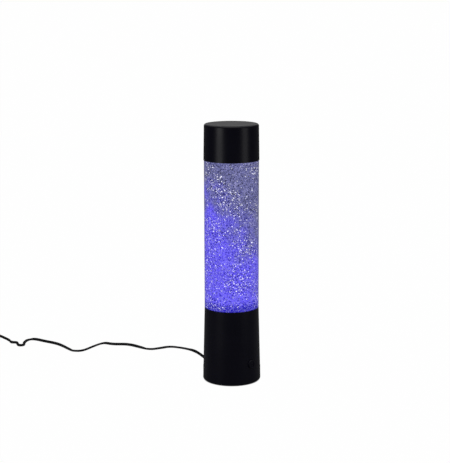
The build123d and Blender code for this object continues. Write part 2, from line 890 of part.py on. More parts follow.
with BuildPart() as closure_gasket:
    with BuildSketch(Plane.XY.offset(neck_top)):
        Circle(neck_radius)
    extrude(amount=gasket_thickness)
closure_gasket.part.label = "closure_gasket"
export_step(closure_gasket.part, "parts/closure_gasket.step")

# Top cap: a closed lid with a little draft, standing on the step of the bottle's shoulder
with BuildPart() as top_cap:
    with BuildSketch(Plane.XZ):
        with BuildLine():
            Polyline(
                (0, cap_rim),
                (cap_rim_radius, cap_rim),
                (cap_top_radius, lamp_height),
                (0, lamp_height),
                close=True,
            )
        make_face()
    revolve(axis=Axis.Z)
    fillet(circles_at(top_cap, lamp_height, cap_top_radius), cap_edge_round)
    fillet(circles_at(top_cap, cap_rim, cap_rim_radius), cap_rim_round)
    inside_top = lamp_height - cap_top_thickness
    with BuildSketch(Plane.XZ):
        with BuildLine():
            Polyline(
                (0, cap_rim),
                (cap_rim_radius - cap_wall, cap_rim),
                (cap_radius(inside_top) - cap_wall, inside_top),
                (0, inside_top),
                close=True,
            )
        make_face()
    revolve(axis=Axis.Z, mode=Mode.SUBTRACT)
    rib_reach = cap_radius(inside_top) - cap_wall / 2 - shoulder_radius - slip
    with BuildSketch(Plane.XY.offset(cap_rim + cap_rib_setback)):
        with PolarLocations(shoulder_radius + slip, cap_rib_count):
            with Locations((rib_reach / 2, 0)):
                Rectangle(rib_reach, cap_rib_width)
    extrude(amount=inside_top - cap_rim - cap_rib_setback)
top_cap.part.label = "top_cap"
export_step(top_cap.part, "parts/top_cap.step")

# Push button: a round button with a flange behind the wall of the shell
button_face = housing_radius(button_height) + button_stand_out
flange_face = switch_face + plunger_stand_out + button_flange_thickness
with BuildPart() as push_button:
    with BuildSketch(facing_plane(button_bearing, button_height, flange_face)):
        Circle(button_flange_radius)
    extrude(amount=-button_flange_thickness)
    with BuildSketch(facing_plane(button_bearing, button_height, flange_face)):
        Circle(button_radius)
    extrude(amount=button_face - flange_face)
    button_out = Axis((0, 0, button_height), heading(button_bearing))
    fillet(push_button.edges().sort_by(button_out)[-1], button_edge_round)
    with BuildSketch(facing_plane(button_bearing, button_height, button_face)):
        Circle(button_dish_radius)
    extrude(amount=-button_dish_depth, mode=Mode.SUBTRACT)
push_button.part.label = "push_button"
export_step(push_button.part, "parts/push_button.step")

# Switch behind the button: its plunger is pushed by the button's flange
with BuildPart() as push_switch:
    with BuildSketch(facing_plane(button_bearing, button_height, board_front)):
        Rectangle(switch_size, switch_size)
    extrude(amount=switch_depth)
    with BuildSketch(facing_plane(button_bearing, button_height, switch_face)):
        Rectangle(plunger_size + 2 * slip, plunger_size + 2 * slip)
    extrude(amount=-plunger_depth - slip, mode=Mode.SUBTRACT)
push_switch.part.label = "push_switch"
export_step(push_switch.part, "parts/push_switch.step")

plunger_end = switch_face - plunger_depth + button_travel
with BuildPart() as switch_plunger:
    with BuildSketch(facing_plane(button_bearing, button_height, plunger_end)):
        Rectangle(plunger_size, plunger_size)
    extrude(amount=switch_face + plunger_stand_out - plunger_end)
switch_plunger.part.label = "switch_plunger"
export_step(switch_plunger.part, "parts/switch_plunger.step")

# Control board: it stands on the base plate between the two rails, behind the switch
board_centre_height = plate_top + control_board_height / 2
with BuildPart() as control_board:
    with BuildSketch(facing_plane(button_bearing, board_centre_height, board_back)):
        Rectangle(control_board_width, control_board_height)
    extrude(amount=board_thickness)
control_board.part.label = "control_board"
export_step(control_board.part, "parts/control_board.step")

chip_height = plate_top + control_board_height - chip_drop
lead_pitch = chip_length / chip_lead_count
with BuildPart() as control_chip:
    with BuildSketch(facing_plane(button_bearing, chip_height, board_back)):
        Rectangle(chip_length, chip_width)
    extrude(amount=-chip_thickness)
    with BuildSketch(facing_plane(button_bearing, chip_height, board_back)):
        with GridLocations(lead_pitch, chip_width + chip_lead_length, chip_lead_count, 2):
            Rectangle(chip_lead_width, chip_lead_length)
    extrude(amount=-chip_lead_thickness)
control_chip.part.label = "control_chip"
export_step(control_chip.part, "parts/control_chip.step")

socket_height = plate_top + plug_socket_height_on_board
socket_face = board_back - plug_socket_depth
with BuildPart() as board_sockets:
    with BuildSketch(facing_plane(button_bearing, socket_height, board_back)):
        with GridLocations(plug_socket_spacing, plug_socket_height, plug_socket_count, 1):
            Rectangle(plug_socket_width, plug_socket_height)
    extrude(amount=-plug_socket_depth)
board_sockets.part.label = "board_sockets"
export_step(board_sockets.part, "parts/board_sockets.step")


def place(forward, across, height):
    """A point by its distance towards the button, its distance across and its height."""
    return (
        heading(button_bearing) * forward
        + heading(button_bearing + turn / 4) * across
        + Vector(0, 0, height)
    )


def wire(points):
    """One insulated wire along straight runs joined by arcs."""
    with BuildPart() as one:
        with BuildLine() as route:
            FilletPolyline(*points, radius=wire_bend)
        with BuildSketch(Plane(origin=route.line @ 0, z_dir=route.line % 0)):
            Circle(wire_radius)
        sweep(path=route.line)
    return one.part


# Wires from the motor's terminals, the lamp board and the cord to the board's sockets
terminal_bottom = end_cap_bottom - terminal_length
bench = socket_height + 4 * wire_bend
with BuildPart() as motor_wires:
    for side in (-1, 1):
        near_end = side * terminal_spacing / 2
        far_end = side * wire_spacing / 2
        add(
            wire(
                [
                    place(0, near_end, terminal_bottom),
                    place(0, near_end, bench),
                    place(socket_face - 2 * wire_bend, far_end, socket_height),
                    place(socket_face, far_end, socket_height),
                ]
            )
        )
motor_wires.part.label = "motor_wires"
export_step(motor_wires.part, "parts/motor_wires.step")

wire_drop = deck_bottom - 2 * wire_bend
with BuildPart() as lamp_wires:
    for side in (-1, 1):
        across = plug_socket_spacing + side * wire_spacing / 2
        add(
            wire(
                [
                    place(wire_slot_radius, side * wire_spacing / 2, deck_top),
                    place(wire_slot_radius, side * wire_spacing / 2, wire_drop),
                    place(socket_face - 3 * wire_bend, across, bench),
                    place(socket_face - 3 * wire_bend, across, socket_height),
                    place(socket_face, across, socket_height),
                ]
            )
        )
lamp_wires.part.label = "lamp_wires"
export_step(lamp_wires.part, "parts/lamp_wires.step")

# Grommet and strain relief, where the flat cord leaves the back of the base
wall_inside = housing_radius(cord_exit_height) - housing_wall
grommet_back = sqrt(wall_inside**2 - (grommet_flange_width / 2) ** 2) - slip
relief_foot = housing_radius(cord_exit_height) + snug
relief_tip = relief_foot + relief_length
with BuildPart() as cord_grommet:
    with BuildSketch(facing_plane(cord_bearing, cord_exit_height, grommet_back)):
        SlotOverall(grommet_flange_width, grommet_flange_height)
    extrude(amount=-grommet_flange_thickness)
    with BuildSketch(facing_plane(cord_bearing, cord_exit_height, grommet_back)):
        SlotOverall(grommet_neck_width, grommet_neck_height)
    extrude(amount=relief_foot - grommet_back)
    with BuildSketch(facing_plane(cord_bearing, cord_exit_height, relief_foot)):
        SlotOverall(relief_root_width, relief_root_height)
    with BuildSketch(facing_plane(cord_bearing, cord_exit_height, relief_tip)):
        SlotOverall(relief_tip_width, relief_tip_height)
    loft()
cord_grommet.part.label = "cord_grommet"
export_step(cord_grommet.part, "parts/cord_grommet.step")

grommet_inner_face = grommet_back - grommet_flange_thickness
with BuildPart() as supply_wires:
    for side in (-1, 1):
        aside = heading(cord_bearing + turn / 4) * (side * wire_spacing / 2)
        level = Vector(0, 0, cord_exit_height)
        across = side * wire_spacing / 2 - plug_socket_spacing
        add(
            wire(
                [
                    heading(cord_bearing) * grommet_inner_face - aside + level,
                    heading(cord_bearing) * (grommet_inner_face - 3 * wire_bend) - aside + level,
                    place(socket_face - 3 * wire_bend, across, socket_height),
                    place(socket_face, across, socket_height),
                ]
            )
        )
supply_wires.part.label = "supply_wires"
export_step(supply_wires.part, "parts/supply_wires.step")

# The cord's free run: its points were chosen by hand. From the strain relief it comes down to
# the surface that the lamp stands on and wanders off to the lamp's back left.
lie = cord_thickness / 2
coil_foot = tie_thickness + tie_gap
layer_one = coil_foot + cord_thickness / 2
layer_two = grip_thickness / 2
coil_middle = Vector(coil_centre_x, coil_centre_y, 0)
coil_entry = coil_middle + heading(coil_start_bearing) * coil_outer_radius
entry_heading = heading(coil_start_bearing + turn / 4)
cord_points = [
    heading(cord_bearing) * relief_tip + Vector(0, 0, cord_exit_height),
    heading(cord_bearing) * (relief_tip + exit_run) + Vector(0, 0, cord_exit_height),
    Vector(-30, 68, lie),
    Vector(-40, 90, lie),
    Vector(-49, 114, lie),
    Vector(-63, 139, lie),
    Vector(-80, 153, lie),
    Vector(-100, 161, lie),
    Vector(-117, 149, lie),
    Vector(-132, 142, lie),
    Vector(-150, 160, lie),
    Vector(-170, 173, lie),
    Vector(-188, 171, lie),
    Vector(-200, 181, lie),
    Vector(-212, 180, lie),
    Vector(-225, 161, lie),
    Vector(-240, 134, lie),
    Vector(-254, 133, lie),
    Vector(-271, 160, lie),
    Vector(-290, 182, lie),
    Vector(-308, 192, lie),
    Vector(-323, 205, lie),
    Vector(-336, 203, lie),
    Vector(-339, 183, lie),
    Vector(-341, 163, lie),
    Vector(-350, 164, lie),
    Vector(-354, 183, lie),
    Vector(-363, 188, lie),
    Vector(-372, 206, lie),
    Vector(-387, 224, lie),
    coil_entry - entry_heading * coil_lead_in + Vector(0, 0, layer_one),
    coil_entry + Vector(0, 0, layer_one),
]


def corner_radii(points):
    """The arc at each inner point: a share of the shorter run, over the tangent of half the turn."""
    radii = []
    for before, here, after in zip(points, points[1:], points[2:]):
        half_turn = radians((here - before).get_angle(after - here)) / 2
        shorter = min((here - before).length, (after - here).length)
        radii.append(arc_share * shorter / tan(half_turn))
    return radii


cord_radii = corner_radii(cord_points)
print("cord radii", [round(radius, 1) for radius in cord_radii])
print("cord runs", [round((b - a).length, 1) for a, b in zip(cord_points, cord_points[1:])])
with BuildPart() as power_cord:
    with BuildLine() as cord_route:
        FilletPolyline(*cord_points, radius=cord_radii)
    cord_start = Plane(
        origin=cord_points[0],
        x_dir=heading(cord_bearing + turn / 4),
        z_dir=heading(cord_bearing),
    )
    with BuildSketch(cord_start):
        SlotOverall(cord_width, cord_thickness)
    cord_section = (cord_width - cord_thickness) * cord_thickness + pi * cord_thickness**2 / 4
    sweep(path=cord_route.line)
cord_length = cord_route.wires()[0].length
cord_volume_share = power_cord.part.volume / (cord_section * cord_length)
print("free cord length", round(cord_length, 1), "volume share", round(cord_volume_share, 4))
power_cord.part.label = "power_cord"
export_step(power_cord.part, "parts/power_cord.step")


# The rest of the cord: a neat coil that spirals in, climbs one layer and spirals out again
coil_turns = coil_whole_turns + (coil_end_bearing - coil_start_bearing) / turn


def coil_point(turns):
    """The cord's middle after a number of turns from the coil's outside."""
    half = coil_turns / 2
    radius = coil_outer_radius - coil_pitch * (half - abs(half - turns))
    climb = min(max((turns - half) * 2 + 1 / 2, 0), 1)
    height = layer_one + (layer_two - layer_one) * (1 - cos(pi * climb)) / 2
    return coil_middle + heading(coil_start_bearing + turn * turns) * radius + Vector(0, 0, height)


def coil_heading(turns):
    """The cord's direction there, level at both ends and where the spiral turns back."""
    if turns <= 0 or turns >= coil_turns:
        return heading(coil_start_bearing + turn * turns + turn / 4)
    ahead = coil_point(turns + heading_probe_share) - coil_point(turns - heading_probe_share)
    return ahead.normalized()


def biarc(start, start_heading, end, end_heading):
    """Two arcs that leave one point and reach another in given directions."""
    way = end - start
    both = start_heading + end_heading
    spread = 2 * (1 - start_heading.dot(end_heading))
    along = way.dot(both)
    reach = (sqrt(along**2 + spread * way.dot(way)) - along) / spread
    middle = (start + start_heading * reach + end - end_heading * reach) / 2
    TangentArc(start, middle, tangent=start_heading)
    TangentArc(middle, end, tangent=end_heading * -1, tangent_from_first=False)


stations = [coil_turns * number / coil_steps for number in range(coil_steps + 1)]
coil_end = coil_point(coil_turns)
coil_end_heading = coil_heading(coil_turns)
with BuildPart() as cord_coil:
    with BuildLine() as coil_route:
        for near_station, far_station in zip(stations, stations[1:]):
            biarc(
                coil_point(near_station),
                coil_heading(near_station),
                coil_point(far_station),
                coil_heading(far_station),
            )
        Line(coil_end, coil_end + coil_end_heading * coil_end_run)
    coil_start = Plane(
        origin=coil_point(0),
        x_dir=heading(coil_start_bearing),
        z_dir=coil_heading(0),
    )
    with BuildSketch(coil_start):
        SlotOverall(cord_width, cord_thickness)
    sweep(path=coil_route.line)
coil_length = coil_route.wires()[0].length
coil_volume_share = cord_coil.part.volume / (cord_section * coil_length)
print("coil length", round(coil_length, 1), "volume share", round(coil_volume_share, 4))
cord_coil.part.label = "cord_coil"
export_step(cord_coil.part, "parts/cord_coil.step")

# The coil's least gap to itself, from points on its middle line, for a flat section lying level
check_count = int(coil_turns * checks_per_turn)
line_points = [coil_point(number / checks_per_turn) for number in range(check_count + 1)]
least_gap = min(
    hypot(
        max(0, hypot(a.X - b.X, a.Y - b.Y) - (cord_width - cord_thickness)),
        a.Z - b.Z,
    )
    - cord_thickness
    for index, a in enumerate(line_points)
    for b in line_points[index + checks_per_turn // 2 :]
)
print("least gap in the coil", round(least_gap, 2), "whole cord", round(cord_length + coil_length, 1))

# Tie round the coil's turns
tie_inner = coil_outer_radius - coil_pitch * coil_turns / 2 - cord_width / 2 - tie_gap
tie_outer = coil_outer_radius + cord_width / 2 + tie_gap
tie_top = layer_two + cord_thickness / 2 + tie_gap
with BuildPart() as coil_tie:
    tie_plane = Plane(
        origin=coil_middle,
        x_dir=heading(tie_bearing),
        z_dir=heading(tie_bearing - turn / 4),
    )
    with BuildSketch(tie_plane):
        with Locations(((tie_inner + tie_outer) / 2, (tie_top + tie_thickness) / 2)):
            RectangleRounded(
                tie_outer - tie_inner + 2 * tie_thickness,
                tie_top + tie_thickness,
                2 * tie_thickness,
            )
            RectangleRounded(
                tie_outer - tie_inner,
                tie_top - tie_thickness,
                tie_thickness,
                mode=Mode.SUBTRACT,
            )
    extrude(amount=tie_width / 2, both=True)
coil_tie.part.label = "coil_tie"
export_step(coil_tie.part, "parts/coil_tie.step")

# Plug: a moulded grip with its strain relief, and the metal shell with its tongue and contacts
plug_start = coil_end + coil_end_heading * coil_end_run
plug_side = Vector(0, 0, 1).cross(coil_end_heading)


def plug_plane(distance):
    """The plane square to the plug at a distance from the cord's end, with X across it."""
    middle = plug_start + coil_end_heading * distance
    return Plane(origin=middle, x_dir=plug_side, z_dir=coil_end_heading)


grip_foot = plug_relief_length
grip_face = grip_foot + grip_length
with BuildPart() as plug_grip:
    with BuildSketch(plug_plane(grip_foot)):
        RectangleRounded(grip_width, grip_thickness, grip_round)
    extrude(amount=grip_length)
    grip_end = plug_grip.faces().sort_by(Axis(plug_start, coil_end_heading))[-1]
    fillet(grip_end.edges(), grip_round / 2)
    with BuildSketch(plug_plane(grip_face - grip_shell_seat)):
        Rectangle(plug_shell_width + 2 * snug, plug_shell_height + 2 * snug)
    extrude(amount=grip_shell_seat, mode=Mode.SUBTRACT)
    for number in range(grip_groove_count):
        groove = grip_foot + grip_groove_setback + number * grip_groove_spacing
        with BuildSketch(plug_plane(groove)):
            Rectangle(grip_width, grip_thickness)
            Rectangle(grip_width - 2 * grip_groove_depth, grip_thickness, mode=Mode.SUBTRACT)
        extrude(amount=grip_groove_width, mode=Mode.SUBTRACT)
    with BuildSketch(plug_plane(0)):
        SlotOverall(relief_tip_width, relief_tip_height)
    with BuildSketch(plug_plane(grip_foot)):
        SlotOverall(plug_relief_root_width, plug_relief_root_height)
    loft()
plug_grip.part.label = "plug_grip"
export_step(plug_grip.part, "parts/plug_grip.step")

shell_foot = grip_face - grip_shell_seat
shell_face = grip_face + plug_shell_length
with BuildPart() as plug_shell:
    with BuildSketch(plug_plane(shell_foot)):
        Rectangle(plug_shell_width, plug_shell_height)
        Rectangle(
            plug_shell_width - 2 * plug_shell_wall,
            plug_shell_height - 2 * plug_shell_wall,
            mode=Mode.SUBTRACT,
        )
    extrude(amount=shell_face - shell_foot)
    window_middle = plug_start + coil_end_heading * (shell_face - plug_window_setback)
    with BuildSketch(Plane(origin=window_middle, x_dir=plug_side, z_dir=(0, 0, 1))):
        with GridLocations(plug_window_spacing, plug_window_spacing, 2, 1):
            Rectangle(plug_window_size, plug_window_size)
    extrude(amount=plug_shell_height, both=True, mode=Mode.SUBTRACT)
plug_shell.part.label = "plug_shell"
export_step(plug_shell.part, "parts/plug_shell.step")

tongue_drop = (plug_shell_height - 2 * plug_shell_wall - tongue_thickness) / 2 - snug
with BuildPart() as plug_tongue:
    with BuildSketch(plug_plane(shell_foot)):
        with Locations((0, -tongue_drop)):
            Rectangle(tongue_width, tongue_thickness)
    extrude(amount=shell_face - tongue_setback - shell_foot)
    with BuildSketch(plug_plane(shell_face - tongue_setback - contact_length)):
        with Locations((0, tongue_thickness / 2 - tongue_drop - contact_depth / 2)):
            with GridLocations(contact_spacing, contact_spacing, contact_count, 1):
                Rectangle(contact_width + 2 * screw_fit, contact_depth)
    extrude(amount=contact_length, mode=Mode.SUBTRACT)
plug_tongue.part.label = "plug_tongue"
export_step(plug_tongue.part, "parts/plug_tongue.step")

with BuildPart() as plug_contacts:
    with BuildSketch(plug_plane(shell_face - tongue_setback - contact_length)):
        with Locations((0, tongue_thickness / 2 - tongue_drop - contact_depth / 2)):
            with GridLocations(contact_spacing, contact_spacing, contact_count, 1):
                Rectangle(contact_width, contact_depth)
    extrude(amount=contact_length)
plug_contacts.part.label = "plug_contacts"
export_step(plug_contacts.part, "parts/plug_contacts.step")
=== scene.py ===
import math

import bmesh
import bpy
import numpy as np
from bpy.props import FloatProperty, FloatVectorProperty, IntProperty, PointerProperty
from mathutils import Matrix, Vector


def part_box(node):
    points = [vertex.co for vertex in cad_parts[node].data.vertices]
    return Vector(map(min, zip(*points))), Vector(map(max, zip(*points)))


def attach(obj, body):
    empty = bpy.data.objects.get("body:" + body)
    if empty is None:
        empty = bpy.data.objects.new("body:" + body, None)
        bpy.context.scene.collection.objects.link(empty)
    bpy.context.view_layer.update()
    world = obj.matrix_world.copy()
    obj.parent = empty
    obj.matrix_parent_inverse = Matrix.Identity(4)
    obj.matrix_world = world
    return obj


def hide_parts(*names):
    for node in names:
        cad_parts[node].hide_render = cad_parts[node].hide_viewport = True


bl_info = {
    "name": "Glitter lamp",
    "version": (1, 0, 0),
    "blender": (4, 5, 0),
    "location": "3D View > Sidebar > Lamp",
    "description": "Dresses a glitter lamp's solids: liquid, glitter, bottle, housing and cord",
    "category": "Object",
}

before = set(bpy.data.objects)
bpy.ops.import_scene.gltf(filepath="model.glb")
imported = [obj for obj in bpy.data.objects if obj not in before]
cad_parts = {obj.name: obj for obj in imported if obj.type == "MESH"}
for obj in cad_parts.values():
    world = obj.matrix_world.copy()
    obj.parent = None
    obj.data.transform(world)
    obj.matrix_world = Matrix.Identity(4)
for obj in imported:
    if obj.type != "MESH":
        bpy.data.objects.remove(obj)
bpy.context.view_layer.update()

millimetre = 0.001
base_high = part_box("base_shell")[1]
cap_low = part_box("top_cap")[0]
bottle_low, bottle_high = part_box("bottle")
liquid_low, liquid_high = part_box("glitter_liquid")

# The bottle's wall, in metres. It stands a little outside the solid's, so that its outline in the
# picture is the photograph's. Its bore widens from the spigot in the base to the tube, and narrows
# again to the shoulder in the cap, over a flare that is partly seen and partly in the housing.
wall_swell = 0.0003
tube_radius = bottle_high.x + wall_swell
bottle_wall = 0.0022
tube_bore = tube_radius - bottle_wall
spigot_bore = 0.03495
shoulder_bore = 0.0347
flare_hidden = 0.0015
flare_seen = 0.0014

# Sockets of the Mix node, whose names repeat, by their numbers.
mix_share = 0
mix_first = 6
mix_second = 7
mix_colour = 2


def heading(degrees):
    """The level unit vector at an angle from +X towards +Y."""
    return Vector((math.cos(math.radians(degrees)), math.sin(math.radians(degrees)), 0))


class LampSizes(bpy.types.PropertyGroup):
    """Sizes that a user of the lamp may change."""

    cord_width: FloatProperty(
        name="Cord width",
        description="Width of the flat twin lead",
        default=0.0046,
        unit="LENGTH",
    )
    cord_thickness: FloatProperty(
        name="Cord thickness",
        description="Thickness of the flat twin lead",
        default=0.0024,
        unit="LENGTH",
    )
    cord_waist: FloatProperty(
        name="Cord waist",
        description="Thickness of the web between the lead's two cores",
        default=0.0014,
        unit="LENGTH",
    )
    coil_radius: FloatProperty(
        name="Coil radius",
        description="Radius of the outermost turn of the coiled cord",
        default=0.0281,
        unit="LENGTH",
    )
    coil_pitch: FloatProperty(
        name="Coil pitch",
        description="How far one turn of the coil lies from the next",
        default=0.00465,
        unit="LENGTH",
    )
    liquid_gap: FloatProperty(
        name="Liquid gap",
        description="Depth of the layer behind the bottle's wall in which the glitter floats",
        default=0.0014,
        unit="LENGTH",
    )
    flake_width: FloatProperty(
        name="Flake width",
        description="About how wide a glitter flake is",
        default=0.0013,
        unit="LENGTH",
    )
    flake_count: IntProperty(
        name="Flakes",
        description="Number of glitter flakes of the dark tone, of which the others have a share",
        default=4000,
        min=100,
        max=9000,
    )
    camera_lens: FloatProperty(
        name="Camera lens",
        description="Focal length of the camera",
        default=96.83,
        unit="CAMERA",
    )
    camera_distance: FloatProperty(
        name="Camera distance",
        description="How far in front of the lamp's axis the camera stands",
        default=1.7837,
        unit="LENGTH",
    )
    camera_height: FloatProperty(
        name="Camera height",
        description="Height of the camera above the surface that the lamp stands on",
        default=0.57013,
        unit="LENGTH",
    )
    camera_tilt: FloatProperty(
        name="Camera tilt",
        description="Angle of the camera's view from straight down",
        default=math.radians(78.958),
        subtype="ANGLE",
    )
    camera_turn: FloatProperty(
        name="Camera turn",
        description="How far the camera looks to the left of the lamp's axis",
        default=math.radians(0.3063),
        subtype="ANGLE",
    )
    camera_roll: FloatProperty(
        name="Camera roll",
        description="How far the camera leans to its right",
        default=math.radians(0.1436),
        subtype="ANGLE",
    )


class LampColours(bpy.types.PropertyGroup):
    """Colours that a user of the lamp may change."""

    # The housing's tone is blue-black; its blue also stands in for the liquid's blue glow spilling
    # onto the cap and base, as painted light.
    housing: FloatVectorProperty(
        name="Housing",
        description="Moulded plastic of the cap and the base",
        subtype="COLOR",
        default=(0.0003, 0.0001, 0.0032),
    )
    glow_low: FloatVectorProperty(
        name="Glow below",
        description="Light in the liquid near the lamps",
        subtype="COLOR",
        default=(0.158, 0.122, 0.98),
    )
    glow_high: FloatVectorProperty(
        name="Glow above",
        description="Light in the liquid under the cap",
        subtype="COLOR",
        default=(0.15, 0.155, 0.36),
    )


class Value:
    """A shader socket that takes part in plain arithmetic: each sum adds its Math node."""

    def __init__(self, shading, socket):
        self.shading = shading
        self.socket = socket

    def _math(self, operation, first, second):
        """The result of one operation on two values."""
        inputs = {0: first, 1: second}
        return self.shading.node("ShaderNodeMath", {"operation": operation}, inputs)

    def __add__(self, other):
        return self._math("ADD", self, other)

    __radd__ = __add__

    def __sub__(self, other):
        return self._math("SUBTRACT", self, other)

    def __rsub__(self, other):
        return self._math("SUBTRACT", other, self)

    def __mul__(self, other):
        return self._math("MULTIPLY", self, other)

    __rmul__ = __mul__

    def __truediv__(self, other):
        return self._math("DIVIDE", self, other)

    def __rtruediv__(self, other):
        return self._math("DIVIDE", other, self)

    def most(self, other):
        """The larger of two values."""
        return self._math("MAXIMUM", self, other)


class Shading:
    """A node tree, with the one way in which its nodes are added."""

    def __init__(self, tree):
        self.tree = tree

    def node(self, kind, settings=None, inputs=None, output=0):
        """Adds a node, gives it its settings and then its inputs, and returns one output."""
        made = self.tree.nodes.new(kind)
        for name, value in (settings or {}).items():
            setattr(made, name, value)
        for name, value in (inputs or {}).items():
            if isinstance(value, Value):
                self.tree.links.new(value.socket, made.inputs[name])
            else:
                made.inputs[name].default_value = value
        return Value(self, made.outputs[output])

    def ray(self, kind):
        """1 for the rays of one kind, and 0 for all others."""
        return self.node("ShaderNodeLightPath", output=f"Is {kind} Ray")

    def spread(self, value, low, high, to_low=0.0, to_high=1.0):
        """Eases a value from one range into another, and holds it at the ends."""
        settings = {"interpolation_type": "SMOOTHSTEP"}
        inputs = {
            "Value": value,
            "From Min": low,
            "From Max": high,
            "To Min": to_low,
            "To Max": to_high,
        }
        return self.node("ShaderNodeMapRange", settings, inputs)

    def part(self, vector, axis):
        """One of a vector's three numbers, by its axis."""
        return self.node("ShaderNodeSeparateXYZ", inputs={"Vector": vector}, output=axis)


class Finish(Shading):
    """One material, made round its Principled shader."""

    def __init__(self, name):
        self.material = bpy.data.materials.new(name)
        self.material.use_nodes = True
        super().__init__(self.material.node_tree)
        self.shader = self.tree.nodes["Principled BSDF"]

    def place(self):
        """The point being shaded, in metres."""
        return self.node("ShaderNodeTexCoord", output="Object")

    def height(self):
        """How far up the lamp the point is, in metres."""
        return self.part(self.place(), "Z")

    def noise(self, scale, detail=3.0, roughness=0.5, where=None):
        """Soft noise of a given number of waves a metre."""
        inputs = {
            "Vector": where or self.place(),
            "Scale": scale,
            "Detail": detail,
            "Roughness": roughness,
        }
        return self.node("ShaderNodeTexNoise", inputs=inputs)

    def mix(self, share, first, second):
        """A colour between two colours."""
        inputs = {mix_share: share, mix_first: colour_of(first), mix_second: colour_of(second)}
        return self.node("ShaderNodeMix", {"data_type": "RGBA"}, inputs, output=mix_colour)

    def bump(self, value, depth, strength=1.0):
        """The surface normal, as bumps of a given depth in metres."""
        inputs = {"Height": value, "Distance": depth, "Strength": strength}
        return self.node("ShaderNodeBump", inputs=inputs)

    def set(self, **values):
        """Sets sockets of the shader: a number stays on the socket, and a Value is linked."""
        for name, value in values.items():
            socket = self.shader.inputs[name.replace("_", " ")]
            if isinstance(value, Value):
                self.tree.links.new(value.socket, socket)
            else:
                socket.default_value = colour_of(value)


def colour_of(value):
    """A colour with its alpha, where three numbers are given, and anything else as it is."""
    if isinstance(value, (Value, int, float)) or len(value) > 3:
        return value
    return (*value, 1.0)


def toned(colour, share):
    """A colour with each of its numbers times a share."""
    return tuple(channel * share for channel in colour)


def put_on(finish, *wearers):
    """Gives CAD nodes, by name, or new pieces their finish."""
    for wearer in wearers:
        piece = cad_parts[wearer] if isinstance(wearer, str) else wearer
        piece.data.materials.clear()
        piece.data.materials.append(finish.material)


def new_mesh_piece(name, points, faces):
    """A piece at the origin from points and faces."""
    mesh = bpy.data.meshes.new(name)
    mesh.from_pydata([tuple(point) for point in points], [], faces)
    mesh.validate()
    piece = bpy.data.objects.new(name, mesh)
    bpy.context.scene.collection.objects.link(piece)
    return piece


# Where the cord leaves the base, as a bearing in degrees and lengths in metres, and how many
# points its smooth line has for each control point.
cord_bearing = 114.0
cord_exit_height = 0.0085
cord_exit_run = 0.009
cord_steps = 10

# The cord's route, in metres from the lamp's axis, and its twist there in degrees: flat at 0 and
# on edge at 90. The points are listed, and the ones of the coil are worked out.
cord_points = (
    (-0.0300, 0.0680, -30),
    (-0.0392, 0.0845, -75),
    (-0.0472, 0.1080, -80),
    (-0.0617, 0.1373, -10),
    (-0.0783, 0.1512, -4),
    (-0.0992, 0.1601, -20),
    (-0.1162, 0.1494, -15),
    (-0.1308, 0.1431, 0),
    (-0.1479, 0.1542, -65),
    (-0.1686, 0.1709, -60),
    (-0.1878, 0.1709, -50),
    (-0.1977, 0.1734, -45),
    (-0.2103, 0.1816, 4),
    (-0.2233, 0.1640, -2),
    (-0.2391, 0.1343, -15),
    (-0.2541, 0.1356, 0),
    (-0.2598, 0.1429, -20),
    (-0.2736, 0.1615, -60),
    (-0.2864, 0.1758, -75),
    (-0.3066, 0.1883, -75),
    (-0.3193, 0.1978, -70),
    (-0.3305, 0.2034, -10),
    (-0.3370, 0.1981, -30),
    (-0.3403, 0.1819, -30),
    (-0.3374, 0.1671, -40),
    (-0.3466, 0.1648, -40),
    (-0.3508, 0.1792, -40),
    (-0.3523, 0.1822, -35),
    (-0.3553, 0.1833, -40),
    (-0.3593, 0.1822, -70),
    (-0.3630, 0.1850, -90),
    (-0.3656, 0.1937, -90),
    (-0.3840, 0.2178, -90),
)

# The coil: its turns run inwards in a lower layer and outwards again in an upper one, and they
# bulge a little towards the tie, so that it holds them without a gap.
coil_middle = Vector((-0.429, 0.228, 0))
coil_start_bearing = 30.0
coil_end_bearing = 180.0
coil_whole_turns = 6
coil_points_per_turn = 14
coil_layer_one = 0.0017
coil_layer_two = 0.00412
coil_tie_bearing = 262.0
coil_tie_slack = 0.0014
coil_lead_in = 0.013
coil_end_run = 0.010


def coil_turns():
    """How often the cord goes round its coil."""
    return coil_whole_turns + (coil_end_bearing - coil_start_bearing) / 360


def coil_point(turns, sizes):
    """The cord's middle after a number of turns from the coil's start, at its outside."""
    half = coil_turns() / 2
    radius = sizes.coil_radius - sizes.coil_pitch * (half - abs(half - turns))
    from_tie = math.radians(coil_start_bearing + 360 * turns - coil_tie_bearing)
    radius += coil_tie_slack * max(math.cos(from_tie), 0) ** 2
    # The cord climbs from one layer to the other over half a turn.
    climb = min(max((turns - half) * 2 + 1 / 2, 0), 1)
    lift = (coil_layer_two - coil_layer_one) * (1 - math.cos(math.pi * climb)) / 2
    level = Vector((0, 0, coil_layer_one + lift))
    return coil_middle + heading(coil_start_bearing + 360 * turns) * radius + level


def cord_route(sizes):
    """The control points of the whole cord and the twist at each."""
    lie = sizes.cord_thickness / 2
    relief_tip = grommet_tip()
    out = heading(cord_bearing)
    points = [relief_tip, relief_tip + out * cord_exit_run]
    twists = [0, 0]
    for x, y, twist in cord_points:
        points.append(Vector((x, y, lie)))
        twists.append(twist)
    entry = coil_point(0, sizes)
    points.append(entry - heading(coil_start_bearing + 90) * coil_lead_in)
    count = round(coil_turns() * coil_points_per_turn)
    step = coil_turns() / count
    # The smooth line runs inside its control points, so these stand out by as much.
    widen = 1 / (3 / 4 + math.cos(math.tau * step) / 4)
    for number in range(count + 1):
        spot = coil_point(number * step, sizes)
        level = spot.z
        spot = coil_middle + (spot - coil_middle) * (widen if 0 < number < count else 1)
        points.append(Vector((spot.x, spot.y, level)))
    end = coil_point(coil_turns(), sizes)
    points.append(end + heading(coil_end_bearing + 90) * coil_end_run)
    twists += [0] * (len(points) - len(twists))
    return points, twists


